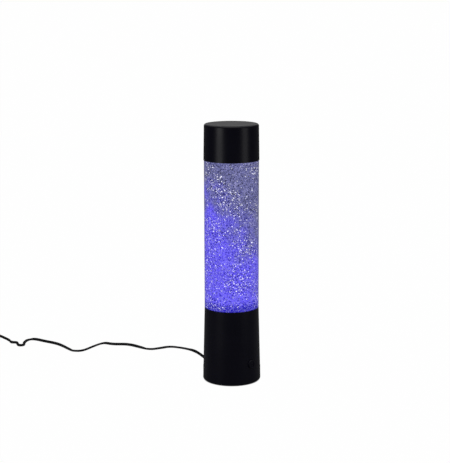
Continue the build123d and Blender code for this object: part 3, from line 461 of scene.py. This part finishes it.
def grommet_tip():
    """The point where the cord leaves the strain relief, at the far end of the grommet."""
    out = heading(cord_bearing)
    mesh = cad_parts["cord_grommet"].data
    reach = max(vertex.co.dot(out) for vertex in mesh.vertices)
    return out * reach + Vector((0, 0, cord_exit_height))


def smooth_line(points, resolution):
    """Points read from the smooth spline that follows the control points."""
    curve = bpy.data.curves.new("route", "CURVE")
    curve.dimensions = "3D"
    spline = curve.splines.new("NURBS")
    spline.points.add(len(points) - 1)
    for spot, point in zip(spline.points, points):
        spot.co = (*point, 1)
    spline.order_u = 3
    spline.use_endpoint_u = True
    spline.resolution_u = resolution
    bare = bpy.data.objects.new("route", curve)
    bpy.context.scene.collection.objects.link(bare)
    bpy.context.view_layer.update()
    evaluated = bare.evaluated_get(bpy.context.evaluated_depsgraph_get())
    mesh = bpy.data.meshes.new_from_object(evaluated)
    line = [vertex.co.copy() for vertex in mesh.vertices]
    bpy.data.meshes.remove(mesh)
    bpy.data.objects.remove(bare)
    bpy.data.curves.remove(curve)
    return line


def twin_section(sizes, lobe_steps=8):
    """The outline of the flat lead: two round cores joined by a thin web, as (across, up)."""
    core = sizes.cord_thickness / 2
    middle = sizes.cord_width / 2 - core
    opening = math.pi - math.asin(sizes.cord_waist / 2 / core)
    outline = []
    for side in (1, -1):
        for step in range(lobe_steps + 1):
            angle = -opening + 2 * opening * step / lobe_steps
            across = side * (middle + core * math.cos(angle))
            outline.append((across, side * core * math.sin(angle)))
    return outline


class LAMP_OT_camera(bpy.types.Operator):
    """Sets the camera to the photograph's angle"""

    bl_idname = "lamp.camera"
    bl_label = "Camera"

    def execute(self, context):
        sizes = context.scene.lamp_sizes
        data = bpy.data.cameras.new("camera")
        data.lens = sizes.camera_lens
        data.clip_start = 0.01
        data.clip_end = 50
        camera = bpy.data.objects.new("camera", data)
        context.scene.collection.objects.link(camera)
        camera.matrix_world = (
            Matrix.Translation((0, -sizes.camera_distance, sizes.camera_height))
            @ Matrix.Rotation(sizes.camera_turn, 4, "Z")
            @ Matrix.Rotation(sizes.camera_tilt, 4, "X")
            @ Matrix.Rotation(-sizes.camera_roll, 4, "Z")
        )
        context.scene.camera = camera
        return {"FINISHED"}


class LAMP_OT_cord(bpy.types.Operator):
    """Lays the flat supply lead along its route and into its coil"""

    bl_idname = "lamp.cord"
    bl_label = "Supply cord"

    def execute(self, context):
        sizes = context.scene.lamp_sizes
        controls, twists = cord_route(sizes)
        line = smooth_line(controls, cord_steps)
        section = twin_section(sizes)
        shares = np.linspace(0, len(controls) - 1, len(line))
        turns = np.radians(np.interp(shares, range(len(controls)), twists))
        # A flat lead that is turned on edge needs this much more height.
        spare = (sizes.cord_width - sizes.cord_thickness) / 2
        points = []
        for index, spot in enumerate(line):
            before = line[max(index - 1, 0)]
            after = line[min(index + 1, len(line) - 1)]
            along = (after - before).normalized()
            side = Vector((0, 0, 1)).cross(along).normalized()
            turn = Matrix.Rotation(turns[index], 3, along)
            across = turn @ side
            up = turn @ along.cross(side)
            middle = spot + Vector((0, 0, spare * abs(math.sin(turns[index]))))
            points += [middle + across * a + up * b for a, b in section]
        rim = len(section)
        faces = []
        for ring in range(len(line) - 1):
            for corner in range(rim):
                here = ring * rim + corner
                beside = ring * rim + (corner + 1) % rim
                faces.append((here, beside, beside + rim, here + rim))
        faces.append(tuple(range(rim))[::-1])
        faces.append(tuple(range(len(points) - rim, len(points))))
        piece = new_mesh_piece("supply_cord", points, faces)
        piece.data.shade_smooth()
        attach(piece, "lamp")
        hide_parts("power_cord", "cord_coil")
        put_on(black_lead(), piece)
        return {"FINISHED"}


def black_lead():
    """Soft vinyl of the flat lead, faintly scuffed along its length."""
    finish = Finish("soft black lead")
    grain = finish.noise(2500, 2.0)
    scuff = finish.noise(90, 4.0, 0.7)
    finish.set(
        Base_Color=finish.mix(scuff, (0.006, 0.006, 0.0065), (0.014, 0.014, 0.015)),
        Roughness=finish.spread(scuff, 0.3, 0.7, 0.42, 0.55),
        Specular_IOR_Level=0.05,
        Normal=finish.bump(grain, 0.00001),
    )
    return finish


def moulded(name, low, high, roughness, shine=0.3, grain=1800, depth=0.00002):
    """Moulded plastic: a fine grain in the surface and slow drifts of its tone and gloss."""
    finish = Finish(name)
    fine = finish.noise(grain, 2.0)
    drift = finish.noise(45, 3.0, 0.6)
    finish.set(
        Base_Color=finish.mix(drift, low, high),
        Roughness=finish.spread(drift, 0.3, 0.7, roughness - 0.04, roughness + 0.04),
        Specular_IOR_Level=shine,
        Normal=finish.bump(fine, depth),
    )
    return finish


def metal(name, low, high, roughness, scale=900, stretch=(1, 1, 0.08)):
    """Drawn or plated metal with fine marks that run along its grain."""
    finish = Finish(name)
    along = finish.node("ShaderNodeMapping", inputs={"Vector": finish.place(), "Scale": stretch})
    marks = finish.noise(scale, 4.0, 0.7, along)
    haze = finish.noise(120, 3.0, 0.6)
    finish.set(
        Metallic=1.0,
        Base_Color=finish.mix(haze, low, high),
        Roughness=finish.spread(marks, 0.25, 0.75, roughness - 0.08, roughness + 0.1),
        Normal=finish.bump(marks, 0.00001),
    )
    return finish


def housing_plastic(colours):
    """The cap's and the base's satin black plastic, with the finest grain and a few faint rubs,
    and a blue cast that partly paints the liquid's glow spilling onto it.
    """
    finish = Finish("satin black housing")
    fine = finish.noise(2600, 2.0)
    drift = finish.noise(30, 4.0, 0.6)
    rub = finish.spread(finish.noise(140, 5.0, 0.75), 0.56, 0.78)
    # Painted light: the tone's blue cast is partly the liquid's glow spilling onto the housing.
    tone = tuple(colours.housing)
    pale = toned(tone, 2.2)
    finish.set(
        Base_Color=finish.mix(drift * 0.6 + rub * 0.4, tone, pale),
        Roughness=finish.spread(drift, 0.3, 0.7, 0.3, 0.35) + rub * 0.04,
        Specular_IOR_Level=0.25,
        Normal=finish.bump(fine, 0.000006),
    )
    return finish


def bottle_plastic(name, index):
    """Clear plastic of a given refractive index, with the faintest waves from its mould."""
    finish = Finish(name)
    flow = finish.noise(35, 2.0)
    finish.set(
        Base_Color=finish.mix(flow, (0.985, 0.985, 0.995), (0.97, 0.975, 0.99)),
        Roughness=finish.spread(flow, 0.3, 0.7, 0.0, 0.03),
        IOR=index,
        Specular_Tint=(0.02, 0.02, 0.02),
        Transmission_Weight=1.0,
    )
    return finish


def clear_pane(name, tint, roughness, alpha=0.25):
    """Clear plastic of an inner piece, with faint flow marks from its mould."""
    finish = Finish(name)
    flow = finish.noise(70, 3.0, 0.6)
    finish.set(
        Base_Color=finish.mix(flow, tint, toned(tint, 0.8)),
        Roughness=finish.spread(flow, 0.3, 0.7, roughness - 0.03, roughness + 0.05),
        Alpha=alpha,
        Normal=finish.bump(flow, 0.00005),
    )
    return finish


def glow_share(finish):
    """How blue the liquid glows: most below and to the left, and in drifting clouds."""
    # Heights are shares of the tube, and the side goes from 0 at the left to 2 at the right.
    top_at_left = 0.98
    drop_a_side = 0.1
    fade_at_left = 0.32
    fade_a_side = 0.26
    cloud_swing = 0.9
    low = base_high.z
    full = cap_low.z - low
    rise = (finish.height() - low) / full
    side = finish.part(finish.place(), "X") / tube_radius + 1
    cloud = finish.noise(32, 2.0, 0.5) - 0.5
    below_top = top_at_left - side * drop_a_side - rise + cloud * cloud_swing
    return finish.spread(below_top / (side * fade_a_side + fade_at_left), 0.0, 1.0)


def liquid_finish(colours):
    """Lit liquid with blurred glitter deep inside it, and painted shade that darkens it just above
    the base's rim.
    """
    black = (0.0, 0.0, 0.0)
    speck_colour = (0.5, 0.48, 0.9)
    # Where the painted shade darkens the liquid's foot, just above the base's rim, and how much.
    shade_top = base_high.z + 0.016
    shade_foot = base_high.z + 0.002
    shade_share = 0.18
    self_lit = 0.9
    finish = Finish("glowing liquid")
    glow = glow_share(finish)
    blur = finish.noise(560, 2.0, 0.7)
    speck = finish.noise(800, 1.0, 0.6)
    # Painted shade: near the base's rim the liquid turns to the darker, deeper blue.
    painted_shade = finish.spread(finish.height(), shade_top, shade_foot)
    dim = finish.mix(glow, (0.02, 0.02, 0.05), (0.014, 0.01, 0.42))
    body = finish.mix(glow, tuple(colours.glow_high), tuple(colours.glow_low))
    deep = finish.mix(finish.spread(blur - painted_shade * shade_share, 0.54, 0.36), body, dim)
    pale = finish.mix(finish.spread(speck, 0.56, 0.68, 0.0, 0.7), deep, speck_colour)
    finish.set(
        Base_Color=finish.mix(self_lit, pale, black),
        Emission_Color=pale,
        Emission_Strength=1.0,
        Roughness=0.6,
        Specular_IOR_Level=0.1,
    )
    return finish


def flake_finish(name, high, low, metallic=0.5):
    """Glitter of one tone whose light is painted in as emission: bluer in the lower liquid, and
    brighter on some flakes as painted glints.
    """
    finish = Finish(name)
    glow = glow_share(finish)
    tone = finish.mix(glow, high, low)
    # Painted glints: this share makes some flakes brighter, in colour and in glow, as if they
    # caught the light.
    painted_glint = finish.spread(finish.noise(330, 2.0), 0.35, 0.65)
    dull = toned(high, 0.5)
    bare = toned(high, 0.25)
    finish.set(
        Base_Color=finish.mix(painted_glint, (0.0, 0.0, 0.0), bare),
        Metallic=metallic,
        Roughness=0.45,
        Specular_IOR_Level=0.1,
        Emission_Color=finish.mix(painted_glint * 0.75 + 0.25, dull, tone),
        Emission_Strength=1.0,
    )
    return finish


def arc(start, end, bulge, count=12):
    """Points of a profile along an arc that bulges to its right between two points."""
    start = Vector(start)
    end = Vector(end)
    run = end - start
    half = run.length / 2
    radius = (half * half + bulge * bulge) / (2 * bulge)
    right = Vector((run.y, -run.x)).normalized()
    middle = (start + end) / 2 - right * (radius - bulge)
    spread = math.asin(half / radius)
    points = []
    for step in range(count + 1):
        angle = spread * (2 * step / count - 1)
        out = right * radius * math.cos(angle)
        on = run.normalized() * radius * math.sin(angle)
        points.append(tuple(middle + out + on))
    return points


def lathed(name, profile, steps):
    """A closed round body: one point is drawn out along the profile and spun round the axis."""
    crease = math.radians(35)
    bpy.ops.object.select_all(action="DESELECT")
    bpy.ops.mesh.primitive_plane_add(size=millimetre, location=(0, 0, 0))
    piece = bpy.context.object
    piece.name = name
    bpy.ops.object.mode_set(mode="EDIT")
    bpy.ops.mesh.select_all(action="SELECT")
    bpy.ops.mesh.merge(type="CENTER")
    here = Vector((0, 0, 0))
    for number, (radius, height) in enumerate(profile):
        goal = Vector((radius, 0, height))
        if number == 0:
            bpy.ops.transform.translate(value=goal - here)
        else:
            bpy.ops.mesh.extrude_region_move(TRANSFORM_OT_translate={"value": goal - here})
        here = goal
    bpy.ops.mesh.select_all(action="SELECT")
    bpy.ops.mesh.spin(steps=steps, angle=math.tau, center=(0, 0, 0), axis=(0, 0, 1))
    bpy.ops.mesh.select_all(action="SELECT")
    bpy.ops.mesh.remove_doubles(threshold=millimetre / 100)
    bpy.ops.mesh.normals_make_consistent(inside=False)
    bpy.ops.object.mode_set(mode="OBJECT")
    bpy.ops.object.shade_smooth_by_angle(angle=crease)
    return piece


class LAMP_OT_liquid(bpy.types.Operator):
    """Fills the bottle with its glowing liquid"""

    bl_idname = "lamp.liquid"
    bl_label = "Liquid"

    def execute(self, context):
        sizes = context.scene.lamp_sizes
        gap = sizes.liquid_gap
        film = 0.0002
        steps = 160
        swirl_radius = 0.0175
        swirl_top = 0.1017
        bottom = liquid_low.z
        profile = (
            (0, swirl_top),
            (swirl_radius, swirl_top),
            (swirl_radius, bottom),
            (spigot_bore - gap, bottom),
            (spigot_bore - gap, base_high.z - flare_hidden),
            (tube_bore - gap, base_high.z + flare_seen),
            (tube_bore - gap, cap_low.z - flare_seen),
            (shoulder_bore - film, cap_low.z + flare_hidden),
            (shoulder_bore - film, liquid_high.z),
            (0, liquid_high.z),
        )
        piece = lathed("glowing_liquid", profile, steps)
        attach(piece, "lamp")
        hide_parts("glitter_liquid")
        put_on(liquid_finish(context.scene.lamp_colours), piece)
        return {"FINISHED"}


class LAMP_OT_glitter(bpy.types.Operator):
    """Scatters the glitter in four tones behind the bottle's wall"""

    bl_idname = "lamp.glitter"
    bl_label = "Glitter"

    def one_flake(self):
        """One six-sided flake, a unit across and a unit thick, as points and faces."""
        narrowing = (1.0, 0.8, 1.0)
        bpy.ops.object.select_all(action="DESELECT")
        bpy.ops.mesh.primitive_cylinder_add(vertices=6, radius=0.5, depth=1, location=(0, 0, 0))
        flake = bpy.context.object
        bpy.ops.object.mode_set(mode="EDIT")
        bpy.ops.mesh.select_all(action="SELECT")
        bpy.ops.transform.resize(value=narrowing)
        bpy.ops.object.mode_set(mode="OBJECT")
        points = np.array([vertex.co for vertex in flake.data.vertices])
        faces = [tuple(face.vertices) for face in flake.data.polygons]
        bpy.data.objects.remove(flake)
        return points, faces

    def streams(self, angle, height):
        """How thick the glitter is at each place, from 0 to 1, in slanting streams."""
        seed = 5
        streams = 7
        most_turns = 6
        most_rise = 110  # radians a metre
        thinnest = 0.15
        usual = 0.55
        calmness = 5
        rng = np.random.default_rng(seed)
        total = np.zeros_like(angle)
        for _ in range(streams):
            turns = rng.integers(-most_turns, most_turns + 1)
            rise = rng.uniform(-most_rise, most_rise)
            total += np.cos(turns * angle + rise * height + rng.uniform(0, math.tau))
        return np.clip(usual + total / calmness, thinnest, 1.0)

    def scatter(self, name, count, seed, sizes, width_share):
        """One tone's flakes as one piece, each near the wall and about parallel to it."""
        rim_gap = 0.0019
        wall_gap = 0.0003
        thick = 0.00008
        narrowest = 0.6
        widest = 1.25
        usual_tilt = 11  # degrees
        most_tilt = 0.4  # radians
        points, faces = self.one_flake()
        rng = np.random.default_rng(seed)
        tries = count * 4
        angle = rng.uniform(0, math.tau, tries)
        height = rng.uniform(base_high.z + rim_gap, cap_low.z - rim_gap, tries)
        kept = np.flatnonzero(rng.random(tries) < self.streams(angle, height))[:count]
        angle = angle[kept]
        height = height[kept]
        number = len(kept)
        wide = sizes.flake_width * width_share * rng.uniform(narrowest, widest, number)
        depth = rng.uniform(wall_gap, sizes.liquid_gap - wall_gap, number)
        radius = tube_bore - depth
        lean = np.radians(rng.normal(0, usual_tilt, number)).clip(-most_tilt, most_tilt)
        nod = np.radians(rng.normal(0, usual_tilt, number)).clip(-most_tilt, most_tilt)
        spin = rng.uniform(0, math.tau, number)
        scaled = points[None] * np.stack([wide, wide, np.full(number, thick)], -1)[:, None]
        placed = turned(scaled, spin, 2)
        placed = turned(placed, lean, 0)
        placed = turned(placed, nod, 1)
        upright = np.stack([placed[..., 2], placed[..., 0], placed[..., 1]], -1)
        upright[..., 0] += radius[:, None]
        around = turned(upright, angle, 2)
        around[..., 2] += height[:, None]
        corners = len(points)
        all_faces = [
            tuple(corner + corners * flake for corner in face)
            for flake in range(number)
            for face in faces
        ]
        piece = new_mesh_piece(name, around.reshape(-1, 3), all_faces)
        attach(piece, "lamp")
        return piece

    def execute(self, context):
        sizes = context.scene.lamp_sizes
        first_seed = 11
        # Name, share of the flakes, share of the width, light above and below, and metal. The
        # light is painted in as emission: greyer above, where it stands for the room's light
        # reflected off the glitter, and bluer below, near the lamps.
        tones = (
            ("silver_glitter", 0.4, 1.1, (1.35, 1.35, 1.45), (1.2, 1.15, 1.4), 0.3),
            ("lilac_glitter", 0.7, 1.0, (0.34, 0.34, 0.5), (0.42, 0.38, 0.98), 0.3),
            ("violet_glitter", 0.7, 1.0, (0.1, 0.1, 0.32), (0.1, 0.06, 0.85), 0.2),
            ("dark_glitter", 1.0, 1.1, (0.01, 0.01, 0.03), (0.012, 0.006, 0.4), 0.2),
        )
        for seed, (name, share, wide, high, low, metallic) in enumerate(tones, first_seed):
            count = round(sizes.flake_count * share)
            piece = self.scatter(name, count, seed, sizes, wide)
            put_on(flake_finish(name.replace("_", " "), high, low, metallic), piece)
        return {"FINISHED"}


def turned(points, angles, axis):
    """Groups of points, each group turned round one of the axes by its own angle."""
    first, second = [(1, 2), (2, 0), (0, 1)][axis]
    cos = np.cos(angles)[:, None]
    sin = np.sin(angles)[:, None]
    result = points.copy()
    result[..., first] = points[..., first] * cos - points[..., second] * sin
    result[..., second] = points[..., first] * sin + points[..., second] * cos
    return result


class LAMP_OT_bottle(bpy.types.Operator):
    """Makes the clear bottle, and finishes its closure, the impeller, the magnets and the steel"""

    bl_idname = "lamp.bottle"
    bl_label = "Bottle"

    def profile(self):
        """The wall's outline, up the outside and down the inside."""
        spigot_radius = 0.03715
        shoulder_radius = 0.0369
        shoulder_foot = cap_low.z + 0.012
        bore_foot = shoulder_foot - bottle_wall / 2
        neck_radius = 0.014
        neck_bore = 0.0122
        neck_foot = shoulder_foot + 0.011
        neck_inside = neck_foot - (neck_radius - neck_bore)
        bulge = 0.004
        floor = bottle_low.z + 0.0025
        boss_radius = 0.0045
        boss_top = floor + 0.0008
        pin_radius = 0.0015
        pin_foot = boss_top - 0.002
        return (
            (0, bottle_low.z),
            (spigot_radius, bottle_low.z),
            (spigot_radius, base_high.z),
            (tube_radius, base_high.z),
            (tube_radius, cap_low.z),
            (shoulder_radius, cap_low.z),
            *arc((shoulder_radius, shoulder_foot), (neck_radius, neck_foot), bulge),
            (neck_radius, bottle_high.z),
            (neck_bore, bottle_high.z),
            *arc((shoulder_bore, bore_foot), (neck_bore, neck_inside), bulge)[::-1],
            (shoulder_bore, cap_low.z + flare_hidden),
            (tube_bore, cap_low.z - flare_seen),
            (tube_bore, base_high.z + flare_seen),
            (spigot_bore, base_high.z - flare_hidden),
            (spigot_bore, floor),
            (boss_radius, floor),
            (boss_radius, boss_top),
            (pin_radius, boss_top),
            (pin_radius, pin_foot),
            (0, pin_foot),
        )

    def wet(self, face):
        """Whether a face is the wall's inside where the liquid touches it."""
        middle = face.center
        outwards = Vector((middle.x, middle.y, 0)).normalized().dot(face.normal)
        inside = Vector((middle.x, middle.y)).length < tube_bore + millimetre / 20
        level = liquid_low.z - millimetre < middle.z < liquid_high.z
        return inside and outwards < 1 / 2 and level

    def execute(self, context):
        steps = 192
        plastic_index = 1.49
        liquid_index = 1.4
        piece = lathed("clear_bottle", self.profile(), steps)
        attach(piece, "lamp")
        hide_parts("bottle")
        put_on(bottle_plastic("clear bottle", plastic_index), piece)
        wetted = bottle_plastic("wetted bottle", plastic_index / liquid_index)
        piece.data.materials.append(wetted.material)
        for face in piece.data.polygons:
            face.material_index = int(self.wet(face))
        put_on(
            moulded("white closure", (0.72, 0.72, 0.7), (0.8, 0.8, 0.78), 0.42),
            "bottle_closure",
            "pin_retainer",
        )
        put_on(
            moulded("black gasket", (0.012, 0.012, 0.012), (0.025, 0.025, 0.025), 0.75),
            "closure_gasket",
        )
        put_on(clear_pane("clear impeller", (0.75, 0.78, 0.85), 0.12, alpha=0.45), "impeller")
        put_on(
            metal("plated magnets", (0.55, 0.55, 0.57), (0.65, 0.65, 0.67), 0.25),
            "impeller_magnets",
            "drive_magnets",
        )
        put_on(
            metal("ground steel", (0.5, 0.5, 0.52), (0.6, 0.6, 0.62), 0.22),
            "impeller_pin",
            "motor_shaft",
            "motor_armature",
        )
        return {"FINISHED"}


class LAMP_OT_housing(bpy.types.Operator):
    """Finishes the cap, the base, the button and its switch, and the plated screws and can"""

    bl_idname = "lamp.housing"
    bl_label = "Housing"

    def execute(self, context):
        housing = housing_plastic(context.scene.lamp_colours)
        put_on(housing, "base_shell", "top_cap", "push_button")
        plate = moulded(
            "black plate",
            (0.008, 0.008, 0.009),
            (0.016, 0.016, 0.017),
            0.55,
            shine=0.25,
            grain=900,
            depth=0.00004,
        )
        put_on(plate, "base_plate", "push_switch", "control_chip")
        rubber = moulded(
            "rubber feet",
            (0.014, 0.014, 0.014),
            (0.028, 0.028, 0.027),
            0.82,
            shine=0.2,
            grain=1400,
            depth=0.00004,
        )
        put_on(rubber, "rubber_feet")
        put_on(
            metal("zinc plated steel", (0.45, 0.46, 0.47), (0.6, 0.61, 0.6), 0.36),
            "base_plate_screws",
            "deck_screws",
            "lamp_board_screws",
            "motor_screws",
            "motor_can",
        )
        return {"FINISHED"}


class LAMP_OT_works(bpy.types.Operator):
    """Finishes the deck, the motor, the boards, the lamps, the wires and the plug's inside"""

    bl_idname = "lamp.works"
    bl_label = "Works"

    def execute(self, context):
        put_on(
            moulded("white plastic", (0.62, 0.62, 0.6), (0.74, 0.74, 0.72), 0.45),
            "drive_deck",
            "motor_end_cap",
            "magnet_carrier",
            "switch_plunger",
            "board_sockets",
            "plug_tongue",
        )
        put_on(
            moulded("white solder mask", (0.68, 0.69, 0.67), (0.78, 0.78, 0.76), 0.3),
            "lamp_board",
        )
        put_on(
            moulded("green solder mask", (0.01, 0.09, 0.03), (0.02, 0.14, 0.05), 0.3),
            "control_board",
        )
        put_on(
            moulded("lamp resin", (0.65, 0.6, 0.25), (0.8, 0.75, 0.4), 0.2),
            "light_emitters",
        )
        put_on(clear_pane("light window", (0.85, 0.85, 0.88), 0.2), "light_window")
        put_on(
            moulded("dark ferrite", (0.02, 0.019, 0.018), (0.05, 0.048, 0.045), 0.6),
            "stator_magnets",
        )
        put_on(
            metal("brass", (0.6, 0.42, 0.16), (0.72, 0.52, 0.22), 0.3),
            "motor_terminals",
            "plug_contacts",
        )
        put_on(
            moulded("red wire", (0.3, 0.01, 0.01), (0.42, 0.02, 0.015), 0.4),
            "motor_wires",
            "lamp_wires",
        )
        put_on(
            moulded("black wire", (0.008, 0.008, 0.009), (0.02, 0.02, 0.02), 0.45),
            "supply_wires",
        )
        return {"FINISHED"}


class LAMP_OT_plug(bpy.types.Operator):
    """Finishes the strain relief, the tie and the plug"""

    bl_idname = "lamp.plug"
    bl_label = "Plug and strain relief"

    def execute(self, context):
        put_on(
            moulded(
                "black moulding",
                (0.0015, 0.0015, 0.0018),
                (0.004, 0.004, 0.0045),
                0.5,
                shine=0.05,
            ),
            "cord_grommet",
            "plug_grip",
        )
        put_on(moulded("black tie", (0.01, 0.01, 0.01), (0.02, 0.02, 0.02), 0.6), "coil_tie")
        put_on(metal("nickel shell", (0.6, 0.58, 0.54), (0.7, 0.68, 0.64), 0.24), "plug_shell")
        return {"FINISHED"}


class LAMP_OT_stage(bpy.types.Operator):
    """Sets up the pale sweep, the soft lights and the world"""

    bl_idname = "lamp.stage"
    bl_label = "Stage"

    def sweep(self):
        """A pale floor that curves up into a backdrop behind the lamp."""
        reach = 3.2
        width_share = 0.35
        bend = 0.8
        bend_steps = 16
        wall = 2.6
        drop = 0.0003
        bpy.ops.object.select_all(action="DESELECT")
        bpy.ops.mesh.primitive_plane_add(size=2 * reach, location=(0, 0, 0))
        floor = bpy.context.object
        floor.name = "studio_sweep"
        bpy.ops.object.mode_set(mode="EDIT")
        bpy.ops.mesh.select_all(action="SELECT")
        bpy.ops.transform.resize(value=(width_share, 1, 1))
        bpy.ops.mesh.select_all(action="DESELECT")
        mesh = bmesh.from_edit_mesh(floor.data)
        for edge in mesh.edges:
            edge.select_set(all(vertex.co.y > reach - millimetre for vertex in edge.verts))
        bmesh.update_edit_mesh(floor.data)
        bpy.ops.mesh.spin(
            steps=bend_steps,
            angle=math.pi / 2,
            center=(0, reach, bend),
            axis=(1, 0, 0),
        )
        bpy.ops.mesh.extrude_region_move(TRANSFORM_OT_translate={"value": (0, 0, wall)})
        bpy.ops.object.mode_set(mode="OBJECT")
        bpy.ops.object.shade_smooth()
        floor.data.transform(Matrix.Translation((0, 0, -drop)))
        return floor

    def seen(self, finish):
        """1 for the rays that see a background, and 0 for the light that falls on things."""
        # Mirrored in the bottle and the housing, the sweep is dark below and paler above.
        mirrored = finish.spread(finish.height(), low=0.4, high=1.0, to_low=0.04, to_high=0.42)
        straight = finish.ray("Camera").most(finish.ray("Transmission"))
        return straight.most(finish.ray("Glossy") * mirrored)

    def soft_light(self, name, bearing, distance, height, width, tall, radiance):
        """A soft light that faces the lamp, given by its place, its size and its brightness."""
        lamp_middle = Vector((0, 0, 0.2))
        data = bpy.data.lights.new(name, "AREA")
        data.shape = "RECTANGLE"
        data.size = width
        data.size_y = tall
        data.energy = radiance * math.pi * width * tall
        light = bpy.data.objects.new(name, data)
        bpy.context.scene.collection.objects.link(light)
        spot = heading(bearing) * distance + Vector((0, 0, height))
        turn = (lamp_middle - spot).to_track_quat("-Z", "Y").to_matrix().to_4x4()
        light.visible_camera = False
        light.visible_transmission = False
        light.matrix_world = Matrix.Translation(spot) @ turn

    def paper(self):
        """The sweep's paper: white to the rays that see it, and dark under the lamp's foot."""
        tooth_low = (0.1, 0.1, 0.1)
        tooth_high = (0.12, 0.12, 0.12)
        lent_light = (0.75, 0.75, 0.75)
        shade_width = 0.0025
        whiteness = 0.993
        finish = Finish("pale paper")
        tooth = finish.mix(finish.noise(300, 3.0), tooth_low, tooth_high)
        finish.set(
            Base_Color=finish.mix(finish.ray("Diffuse"), tooth, lent_light),
            Roughness=0.9,
            Specular_IOR_Level=0.0,
        )
        white = finish.node("ShaderNodeEmission", inputs={"Color": (1, 1, 1, 1), "Strength": 1.0})
        lit = Value(finish, finish.shader.outputs["BSDF"])
        length = {"operation": "LENGTH"}
        out = finish.node("ShaderNodeVectorMath", length, {0: finish.place()}, output="Value")
        beside = finish.spread(out, base_high.x - shade_width, base_high.x, 0.0, whiteness)
        shaders = {0: self.seen(finish) * beside, 1: lit, 2: white}
        both = finish.node("ShaderNodeMixShader", inputs=shaders)
        surface = finish.tree.nodes["Material Output"].inputs["Surface"]
        finish.tree.links.new(both.socket, surface)
        return finish

    def studio(self):
        """The world: white to the camera, a little less on things, and dark below in mirrors."""
        plain = 0.75
        world = bpy.data.worlds.new("studio")
        world.use_nodes = True
        sky = Shading(world.node_tree)
        rise = sky.part(sky.node("ShaderNodeTexCoord", output="Generated"), "Z")
        mirrored = sky.spread(rise, low=0.35, high=0.8, to_low=0.07, to_high=0.85)
        level = sky.ray("Camera") * (1 - plain) + plain + sky.ray("Glossy") * (mirrored - plain)
        background = world.node_tree.nodes["Background"]
        background.inputs["Color"].default_value = (1, 1, 1, 1)
        world.node_tree.links.new(level.socket, background.inputs["Strength"])
        return world

    def execute(self, context):
        put_on(self.paper(), self.sweep())
        context.scene.world = self.studio()
        side = {"distance": 1.15, "height": 0.24, "width": 0.5, "tall": 0.3}
        above = {"distance": 0.35, "height": 1.7, "width": 1.2, "tall": 1.2}
        self.soft_light("left_strip", bearing=-139.5, radiance=2.75, **side)
        self.soft_light("right_strip", bearing=-33.2, radiance=1.45, **side)
        self.soft_light("top_softbox", bearing=-90, radiance=0.6, **above)
        context.scene.view_settings.view_transform = "Standard"
        return {"FINISHED"}


class LAMP_PT_panel(bpy.types.Panel):
    """Lists the lamp's steps and sizes in the sidebar of the 3D view"""

    bl_idname = "LAMP_PT_panel"
    bl_label = "Glitter lamp"
    bl_space_type = "VIEW_3D"
    bl_region_type = "UI"
    bl_category = "Lamp"

    def draw(self, context):
        for group in (context.scene.lamp_sizes, context.scene.lamp_colours):
            for name in group.__annotations__:
                self.layout.prop(group, name)
        for step in steps:
            self.layout.operator(step.bl_idname)


steps = (
    LAMP_OT_camera,
    LAMP_OT_cord,
    LAMP_OT_liquid,
    LAMP_OT_glitter,
    LAMP_OT_bottle,
    LAMP_OT_housing,
    LAMP_OT_works,
    LAMP_OT_plug,
    LAMP_OT_stage,
)
classes = (LampSizes, LampColours, *steps, LAMP_PT_panel)


def register():
    for item in classes:
        bpy.utils.register_class(item)
    bpy.types.Scene.lamp_sizes = PointerProperty(type=LampSizes)
    bpy.types.Scene.lamp_colours = PointerProperty(type=LampColours)


def unregister():
    del bpy.types.Scene.lamp_colours
    del bpy.types.Scene.lamp_sizes
    for item in reversed(classes):
        bpy.utils.unregister_class(item)


def main():
    register()
    bpy.ops.lamp.camera()
    bpy.ops.lamp.cord()
    bpy.ops.lamp.liquid()
    bpy.ops.lamp.glitter()
    bpy.ops.lamp.bottle()
    bpy.ops.lamp.housing()
    bpy.ops.lamp.works()
    bpy.ops.lamp.plug()
    bpy.ops.lamp.stage()


if __name__ == "__main__":
    main()
